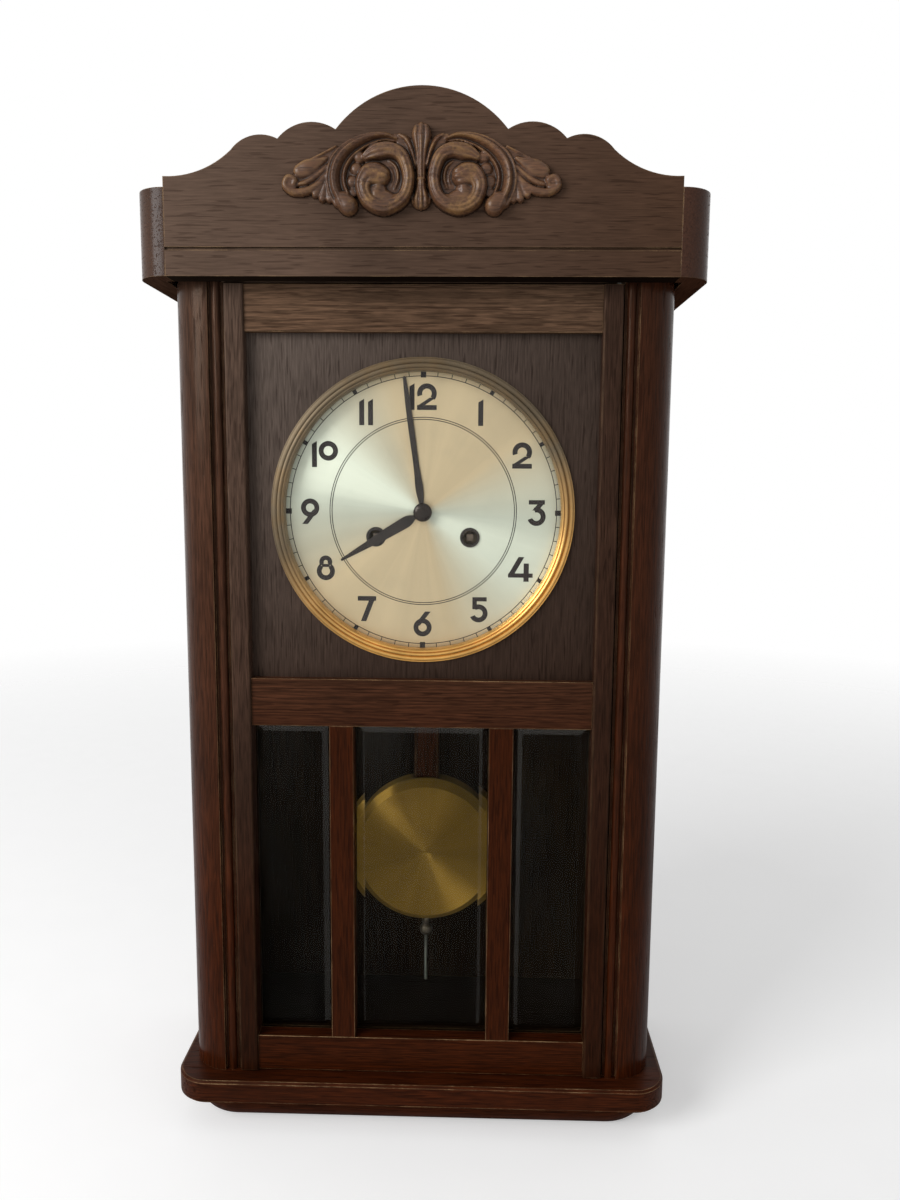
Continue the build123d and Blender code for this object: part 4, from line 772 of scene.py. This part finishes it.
def numeral(hour, half):
    """Strokes of an hour's numeral, in millimetres from its middle."""
    two = [
        bow(0, 2, 6.2 - half, 198, -40, half),
        slanted(3.7, -0.6, -3.9, -5.6, half * 1.25),
        straight(-6.2, -6.7, 6.2, -6.7, half * 0.95),
    ]
    shapes = {
        1: [bar_with_slant(0, half)],
        2: two,
        3: [
            straight(-5, 6.8, 5.2, 6.8, half * 0.88),
            slanted(3.2, 6.4, -0.8, 1.6, half * 1.2),
            bow(0, -2.3, 5.9 - half, 108, -160, half),
        ],
        4: [
            slanted(0.6, 8, -6, -3.6, half * 1.15),
            straight(-7.8, -3.9, 8, -3.9, half * 0.85),
            straight(3.8, 3.9, 3.8, -7.9, half * 1.05),
        ],
        5: [
            straight(-4, 6.9, 5.2, 6.9, half * 0.85),
            straight(-2.6, 8.2, -2.6, 0.4, half * 0.9),
            bow(0, -2.3, 5.9 - half, 128, -155, half),
        ],
        6: six(half),
        7: [straight(-5.9, 6.7, 6.1, 6.7, half * 0.95), slanted(4.2, 8.2, -2.2, -8.2, half * 1.1)],
        8: [
            bow(0, 3.6, 4.2 - half * 0.9, -35, 215, half * 0.9),
            bow(0, -2.3, 5.9 - half, 130, 410, half),
            straight(-2.6, 1.35, 2.6, 1.35, half * 0.6),
        ],
        9: [-stroke for stroke in six(half)],
        10: [bar_with_slant(-6.6, half), bow(2.3, 2.1, 6.2 - half, 0, 360, half)],
        11: [bar_with_slant(-2.8, half), bar_with_slant(2.8, half)],
        12: [bar_with_slant(-7.2, half)] + [stroke + np.array((2.2, 0)) for stroke in two],
    }
    return shapes[hour]


def printed_strokes(sizes):
    """All strokes on the dial, in metres from its centre: numerals, thin circles and minute marks."""
    line = sizes.line / 2
    strokes = []
    for hour in range(1, 13):
        turn = math.radians(90 - 30 * hour)
        middle = sizes.numeral_circle * np.array((math.cos(turn), math.sin(turn)))
        strokes += [stroke * MM + middle for stroke in numeral(hour, sizes.stroke / 2 / MM)]
    gap = sizes.ring_gap / 2
    turn = np.linspace(0.0, math.tau, 361)
    circle = np.stack([np.sin(turn), np.cos(turn)], -1)
    for radius in (sizes.track_inner, sizes.track_outer, sizes.ring - gap, sizes.ring + gap):
        strokes.append(np.array([(radius + line) * circle, (radius - line) * circle]))
    marks = {**MARKS, 1: (line, 0.0, 0.0)}
    for minute in range(60):
        half, below, above = marks[max(every for every in marks if minute % every == 0)]
        turn = math.radians(6 * minute)
        way = np.array((math.sin(turn), math.cos(turn)))
        inner, outer = (sizes.track_inner - below) * way, (sizes.track_outer + above) * way
        strokes.append(straight(*inner, *outer, half))
    return strokes


def stroke_mesh(strokes, front, step):
    """Flat ribbons on the dial: each stroke's two edges are the two rows of a grid. Strokes that cross lie
    a step apart, at levels taken in turn, so that no two faces fall together."""
    points, faces, count = [], [], 0
    for number, stroke in enumerate(strokes):
        flat = stroke.reshape(-1, 2)
        level = np.full(len(flat), front - step * (number % PRINT_LEVELS))
        points.append(np.stack([flat[:, 0], level, flat[:, 1] + DIAL_AXIS[2]], -1))
        faces.append(grid_faces(2, stroke.shape[1]) + count)
        count += len(flat)
    return np.concatenate(points), np.concatenate(faces)


def half_round(outer, inner, base, rise):
    """A bead's section: half an ellipse that stands on a base, from its outer to its inner side."""
    turn = np.linspace(0.0, math.pi, 14)
    middle, half = (outer + inner) / 2, (outer - inner) / 2
    return np.stack([middle + half * np.cos(turn), base + rise * np.sin(turn)], -1)


def bezel_profile():
    """Bezel section in millimetres, as radius and height over the panel: an edge, two beads, a lip and a
    sleeve through the panel."""
    rim = BEZEL_RADIUS / MM
    rise = (PANEL_LOW.y - BEZEL_LOW.y) / MM
    end = (PANEL_LOW.y - PANEL_HIGH.y) / MM
    inner, outer = BEZEL_SLEEVE
    parts = [
        BEZEL_EDGE,
        half_round(*OUTER_BEAD, OUTER_BEAD_RISE),
        half_round(*INNER_BEAD, rise - INNER_BEAD[2]),
        BEZEL_LIP,
        [(inner, end), (outer, end), (outer, 0.0), BEZEL_EDGE[0]],
    ]
    return np.concatenate(parts) * (-1.0, 1.0) + (rim, 0.0)


class CLOCK_OT_dress_case(bpy.types.Operator):
    """Stains the case, crown and plinth, with painted light towards the upper left and painted shade under
    the crown and inside the case
    """

    bl_idname = "clock.dress_case"
    bl_label = "Dress the case"

    def execute(self, context):
        tone = tones()
        posts = oak(
            "case_oak_upright", tone.case, "Z", tone.case_lit, fade=(0.2, 0.0), rings=0.12, wear=0.5,
            gloss=0.22, shine=0.09
        )
        coat(posts, "corner_posts", "case_sides")
        foot = oak("case_oak_level", tone.case, "X", rings=0.2, wear=0.9, inside=True)
        coat(foot, "plinth", "base_moulding")
        header = oak(
            "header_oak", tone.crown, "X", tone.crown_lit, fade=(0.4, 1.0),
            contrast=0.36, rings=0.22, wear=0.5
        )
        coat(header, "header_rail", "top_board")
        crown = oak(
            "crown_oak", tone.crown, "X", tone.crown_lit, fade=(0.0, 1.0),
            contrast=0.17, rings=0.06, under=0.15
        )
        coat(crown, "crown_front")
        ends = oak(
            "return_oak", tone.crown_end, "Y", tone.case_lit, fade=(0.0, 1.0), contrast=0.2, rings=0.06,
            gloss=0.2, shine=0.12
        )
        coat(ends, "crown_returns")
        coat(oak("inside_oak", tone.inside, "Z", contrast=0.3, wear=0.2, gloss=0.55), "back_board")
        return {"FINISHED"}


class CLOCK_OT_carve_crown(bpy.types.Operator):
    """Carves the scrolls, leaves and palmette of the crown"""

    bl_idname = "clock.carve_crown"
    bl_label = "Carve the crown"

    def execute(self, context):
        sizes = context.scene.clock_carving
        waist = CROWN_LOW.z + sizes.above_crown
        across = np.arange(CARVING_LOW.x, CARVING_HIGH.x + sizes.step, sizes.step)
        up = np.arange(CARVING_LOW.z, CARVING_HIGH.z + sizes.step, sizes.step)
        x, z = np.meshgrid(across, up)
        place = np.abs(x) / MM, (z - waist) / MM
        height = carving_height(*(part.astype(np.float32) for part in place))
        rounded = np.maximum(soften(height, ROUNDING_PASSES), LEAST_RISE)
        height = np.where(height > 0.0, rounded, 0.0)
        height[[0, -1]] = 0.0
        height[:, [0, -1]] = 0.0
        hollow = np.clip(soften(height, HOLLOW_PASSES) - height, -DEEPEST_HOLLOW, DEEPEST_HOLLOW)
        relief = np.minimum(height * MM, CARVING_HIGH.y - CARVING_LOW.y)
        points, faces, source = relief_shell(x, z, relief, CARVING_HIGH.y)
        mesh = bpy.data.meshes.new("carving")
        mesh.from_pydata(points, [], faces.tolist())
        mesh.shade_smooth()
        for name, field in (("hollow", hollow), ("rise", height / height.max())):
            mesh.attributes.new(name, "FLOAT", "POINT").data.foreach_set("value", field.ravel()[source])
        mesh.materials.append(carved_oak())
        piece = add_object(mesh)
        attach(piece, "case")
        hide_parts("crown_carving")
        return {"FINISHED"}


class CLOCK_OT_dress_door(bpy.types.Operator):
    """Stains the door frame, its panel and the glazing beads, with painted light towards the upper left and
    the top
    """

    bl_idname = "clock.dress_door"
    bl_label = "Dress the door"

    def execute(self, context):
        tone = tones()
        stiles = oak("stile_oak", tone.stile, "Z", tone.stile_lit, fade=(0.2, 0.0), rings=0.12)
        coat(stiles, "door_stiles")
        coat(oak("mullion_oak", tone.rail, "Z", rings=0.12, wear=0.8), "door_mullions")
        rails = oak("rail_oak", tone.rail, "X", tone.rail_lit, fade=(1.0, -0.3), rings=0.26, wear=1.0)
        coat(rails, "door_top_rail", "door_middle_rail", "door_bottom_rail")
        panel = oak(
            "panel_oak", tone.panel, "Z", tone.panel_lit, fade=(0.2, -0.3),
            contrast=0.28, rings=0.05, wear=0.4
        )
        coat(panel, "dial_panel")
        coat(oak("bead_oak", tone.inside, "X", wear=0.2), "glazing_beads")
        coat(worked_metal("catch_brass", tone.brass, 0.3), "catch_stud", "catch_clip")
        coat(worked_metal("pivot_steel", tone.steel, 0.35), "hinge_pins")
        return {"FINISHED"}


class CLOCK_OT_turn_bezel(bpy.types.Operator):
    """Turns the brass bezel with its two beads"""

    bl_idname = "clock.turn_bezel"
    bl_label = "Turn the bezel"

    def execute(self, context):
        profile = bezel_profile() * (MM, -MM)
        centre = (0.0, PANEL_LOW.y, DIAL_AXIS[2])
        points, faces = lathe(profile, centre, "Y", steps=240)
        tone = tones()
        material = spun_metal(
            "bezel_brass", tone.bezel, DIAL_AXIS, roughness=0.32, sheen=0.12,
            stain=0.35, dull=tone.dull_brass_and_shade
        )
        piece = make_piece("bezel_rings", points, faces, material, "door")
        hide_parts("bezel")
        return {"FINISHED"}


class CLOCK_OT_print_dial(bpy.types.Operator):
    """Brushes the dial and prints its numerals, minute track and ring"""

    bl_idname = "clock.print_dial"
    bl_label = "Print the dial"

    def execute(self, context):
        sizes = context.scene.clock_dial
        tone = tones()
        silver = spun_metal(
            "dial_silver", tone.dial, DIAL_AXIS, roughness=0.34, sheen=0.06,
            stain=0.1, across=tone.dial_warm
        )
        coat(silver, "dial")
        front = DIAL_FRONT - PRINT_LIFT * sizes.ink
        points, faces = stroke_mesh(printed_strokes(sizes), front, PRINT_STEP * sizes.ink)
        piece = make_piece("dial_print", points, faces, printed_ink(), "case", False)
        wall = piece.modifiers.new("ink", "SOLIDIFY")
        wall.thickness = sizes.ink
        wall.offset = 0.0
        return {"FINISHED"}


class CLOCK_OT_dress_hands(bpy.types.Operator):
    """Browns the hands and grommets and turns the domed hand nut"""

    bl_idname = "clock.dress_hands"
    bl_label = "Dress the hands"

    def execute(self, context):
        browned = worked_metal("hand_brown", tones().hands, 0.38, metallic=0.3)
        coat(browned, "hour_hand", "minute_hand", "winding_grommets")
        low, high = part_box("hand_nut")
        radius = (high.x - low.x) / 2
        turn = np.linspace(0.0, math.pi / 2, 16)
        dome = np.stack([radius * np.sin(turn), (low.y - high.y) * np.cos(turn)], -1)
        profile = np.concatenate([dome, [(0.0, 0.0)]])
        points, faces = lathe(profile, (0.0, high.y, DIAL_AXIS[2]), "Y", steps=64)
        polished = worked_metal("hand_nut_brown", tones().hands, 0.22, metallic=0.6)
        piece = make_piece("hand_nut_dome", points, faces, polished, "minute")
        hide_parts("hand_nut")
        return {"FINISHED"}


class CLOCK_OT_glaze(bpy.types.Operator):
    """Glazes the door and the dial"""

    bl_idname = "clock.glaze"
    bl_label = "Glaze the door"

    def execute(self, context):
        coat(bevelled_glass(), "door_panes")
        coat(clear_glass(), "dial_glass")
        return {"FINISHED"}


class CLOCK_OT_dress_movement(bpy.types.Operator):
    """Finishes the plates, wheels, arbors, hammer and gong"""

    bl_idname = "clock.dress_movement"
    bl_label = "Dress the movement"

    def execute(self, context):
        tone = tones()
        plates = ("front_plate", "back_plate", "suspension_cock")
        wheels = ("time_barrel", "intermediate_wheel", "centre_wheel", "third_wheel", "escape_wheel")
        wheels += ("strike_barrel", "pin_wheel", "warning_wheel", "fly", "minute_wheel", "hour_wheel")
        steel = ("plate_pillars", "movement_brackets", "hanger_plate", "anchor", "crutch", "hammer")
        steel += ("cannon_pinion", "suspension_spring", "pendulum_hook", "gong_rods")
        arbors = ("time_winding_arbor", "strike_winding_arbor")
        # The plates take the dull brass: tarnish, and painted shade for what shows through the winding
        # holes
        coat(worked_metal("plate_brass", tone.dull_brass_and_shade, 0.45), *plates)
        coat(worked_metal("wheel_brass", tone.brass, 0.28), *wheels)
        coat(worked_metal("worked_steel", tone.steel, 0.36), *steel)
        coat(worked_metal("arbor_steel", tone.arbor, 0.36, metallic=0.8), *arbors)
        coat(worked_metal("gong_iron", tone.iron, 0.5, metallic=0.7), "gong_block")
        return {"FINISHED"}


class CLOCK_OT_dress_pendulum(bpy.types.Operator):
    """Spins the bob and finishes the rod, rating nut and screw"""

    bl_idname = "clock.dress_pendulum"
    bl_label = "Dress the pendulum"

    def execute(self, context):
        tone = tones()
        olive = spun_metal(
            "bob_brass", tone.bob, BOB_AXIS, roughness=0.46, sheen=0.07, stain=0.15,
            metallic=0.85, grain=0.97
        )
        coat(olive, "bob")
        coat(oak("pendulum_oak", tone.case, "Z"), "pendulum_rod")
        self.turn_nut(worked_metal("nut_steel", tone.arbor, 0.36, metallic=0.6))
        threaded = worked_metal("rating_thread", tone.steel, 0.4, metallic=0.7, thread=THREAD_PITCH)
        coat(threaded, "rating_screw")
        return {"FINISHED"}

    def turn_nut(self, material):
        """The rating nut: a plain collar over a ball whose rim is knurled. The rim's radius ripples with
        the cosine of the bearing, fully at the rim and not at all below a share of the radius."""
        low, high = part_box("rating_nut")
        ball = (high.x - low.x) / 2
        middle = low.z + ball
        bore, collar = NUT_BORE * ball, NUT_COLLAR * ball
        turn = np.linspace(*BALL_ROUND, 15)
        globe = np.stack([ball * np.sin(turn), middle + ball * np.cos(turn)], -1)
        top = [(bore, high.z), (collar, high.z), (collar, middle + NUT_SHOULDER * ball)]
        neck = [(NUT_NECK * ball, middle + ball)]
        profile = np.concatenate([top, neck, globe, [(bore, globe[-1, 1]), (bore, high.z)]])
        axis = ((low.x + high.x) / 2, (low.y + high.y) / 2, 0.0)
        points, faces = lathe(profile, axis, "Z", steps=NUT_STEPS)
        bearing = np.linspace(0.0, math.tau, NUT_STEPS + 1)[:, None]
        swell = np.interp(profile[:, 0] / ball, (KNURL_START, 1.0), (0.0, 1.0))
        ripple = 1.0 - KNURL_DEPTH * swell * (1.0 + np.cos(KNURLS * bearing))
        points[..., :2] = axis[:2] + (points[..., :2] - axis[:2]) * ripple[..., None]
        piece = make_piece("rating_nut_turned", points, faces, material, "rating_nut")
        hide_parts("rating_nut")


class CLOCK_OT_set_stage(bpy.types.Operator):
    """Sets the floor, the light and the camera"""

    bl_idname = "clock.set_stage"
    bl_label = "Set the stage"

    def execute(self, context):
        scene = context.scene
        sizes = scene.clock_stage
        scene.view_settings.view_transform = "Standard"
        self.lay_floor(sizes)
        self.light(scene, sizes)
        self.aim_camera(scene, sizes)
        return {"FINISHED"}

    def lay_floor(self, sizes):
        """A pale floor under the clock that melts into the background with distance."""
        side = np.linspace(-2 * sizes.fade, 2 * sizes.fade, 3)
        x, y = np.meshgrid(side, side)
        ground = np.full_like(x, CAD_BOX[0][2] - FLOOR_GAP)
        mesh = bpy.data.meshes.new("floor")
        mesh.from_pydata(np.stack([x, y, ground], -1).reshape(-1, 3), [], grid_faces(3, 3).tolist())
        look = Finish("pale_floor")
        away = look.vector("MULTIPLY", look.place, (1.0, 1.0, 0.0))
        away = look.vector("LENGTH", away, output="Value")
        grain = look.noise(30)
        seen = look.add("LightPath", output="Is Camera Ray")
        look.surface(
            Base_Color=look.mix(grain, (0.86, 0.86, 0.86, 1.0), (0.9, 0.9, 0.9, 1.0)),
            Roughness=0.9,
            Specular_IOR_Level=0.1,
            Alpha=look.span(away, 0.25 * sizes.fade, sizes.fade, 1.0, 0.0),
            Emission_Color=WHITE,
            Emission_Strength=look.times(seen, FLOOR_GLOW),
        )
        mesh.materials.append(look.material)
        floor = add_object(mesh)

    def light(self, scene, sizes):
        """Even light from all round, white where it is seen, and a broad key at the upper left."""
        world = bpy.data.worlds.new("studio")
        world.use_nodes = True
        nodes = Nodes(world.node_tree)
        direct, mirrored, passed = (nodes.add("LightPath", output=ray) for ray in WHITE_TO)
        seen = nodes.math("MAXIMUM", direct, nodes.math("MAXIMUM", mirrored, passed))
        sky = nodes.tree.nodes["Background"]
        nodes.wire(sky.inputs["Strength"], nodes.span(seen, 0.0, 1.0, sizes.fill, 1.0))
        nodes.wire(sky.inputs["Color"], WHITE)
        scene.world = world
        lamp = bpy.data.lights.new("key", "AREA")
        lamp.energy = sizes.key
        lamp.size = sizes.key_size
        key = add_object(lamp)
        way = (KEY_TARGET - KEY_PLACE).to_track_quat("-Z", "Y")
        key.matrix_world = Matrix.LocRotScale(KEY_PLACE, way, None)

    def aim_camera(self, scene, sizes):
        """The camera in front of the door, turned about each axis in turn."""
        camera = bpy.data.cameras.new("camera")
        camera.lens = sizes.lens
        camera.sensor_width = SENSOR_WIDTH
        view = add_object(camera)
        turn = Matrix.Identity(3)
        for axis, angle in CAMERA_TURNS:
            turn = turn @ Matrix.Rotation(math.radians(angle), 3, axis)
        right, forward, up = turn
        pose = Matrix((right, up, -forward)).transposed().to_4x4()
        pose.translation = CAMERA_PLACE
        view.matrix_world = pose
        scene.camera = view


PIECES = (
    CLOCK_OT_dress_case,
    CLOCK_OT_carve_crown,
    CLOCK_OT_dress_door,
    CLOCK_OT_turn_bezel,
    CLOCK_OT_print_dial,
    CLOCK_OT_dress_hands,
    CLOCK_OT_glaze,
    CLOCK_OT_dress_movement,
    CLOCK_OT_dress_pendulum,
    CLOCK_OT_set_stage,
)


GROUPS = {
    "clock_tones": ClockTones,
    "clock_dial": DialSizes,
    "clock_carving": CarvingSizes,
    "clock_stage": StageSizes,
}


class CLOCK_PT_panel(bpy.types.Panel):
    """Lists the clock's pieces and their sizes"""

    bl_label = "Wall Clock"
    bl_idname = "CLOCK_PT_panel"
    bl_space_type = "VIEW_3D"
    bl_region_type = "UI"
    bl_category = "Wall Clock"

    def draw(self, context):
        for name in GROUPS:
            settings = getattr(context.scene, name)
            box = self.layout.box()
            for field in settings.__annotations__:
                box.prop(settings, field)
        for piece in PIECES:
            self.layout.operator(piece.bl_idname)


def register():
    for group in GROUPS.values():
        bpy.utils.register_class(group)
    for name, group in GROUPS.items():
        setattr(bpy.types.Scene, name, PointerProperty(type=group))
    for piece in PIECES:
        bpy.utils.register_class(piece)
    bpy.utils.register_class(CLOCK_PT_panel)


def unregister():
    bpy.utils.unregister_class(CLOCK_PT_panel)
    for piece in reversed(PIECES):
        bpy.utils.unregister_class(piece)
    for name, group in GROUPS.items():
        delattr(bpy.types.Scene, name)
        bpy.utils.unregister_class(group)


def main():
    register()
    for piece in PIECES:
        step = piece.bl_idname.split(".")[1]
        getattr(bpy.ops.clock, step)()


if __name__ == "__main__":
    main()
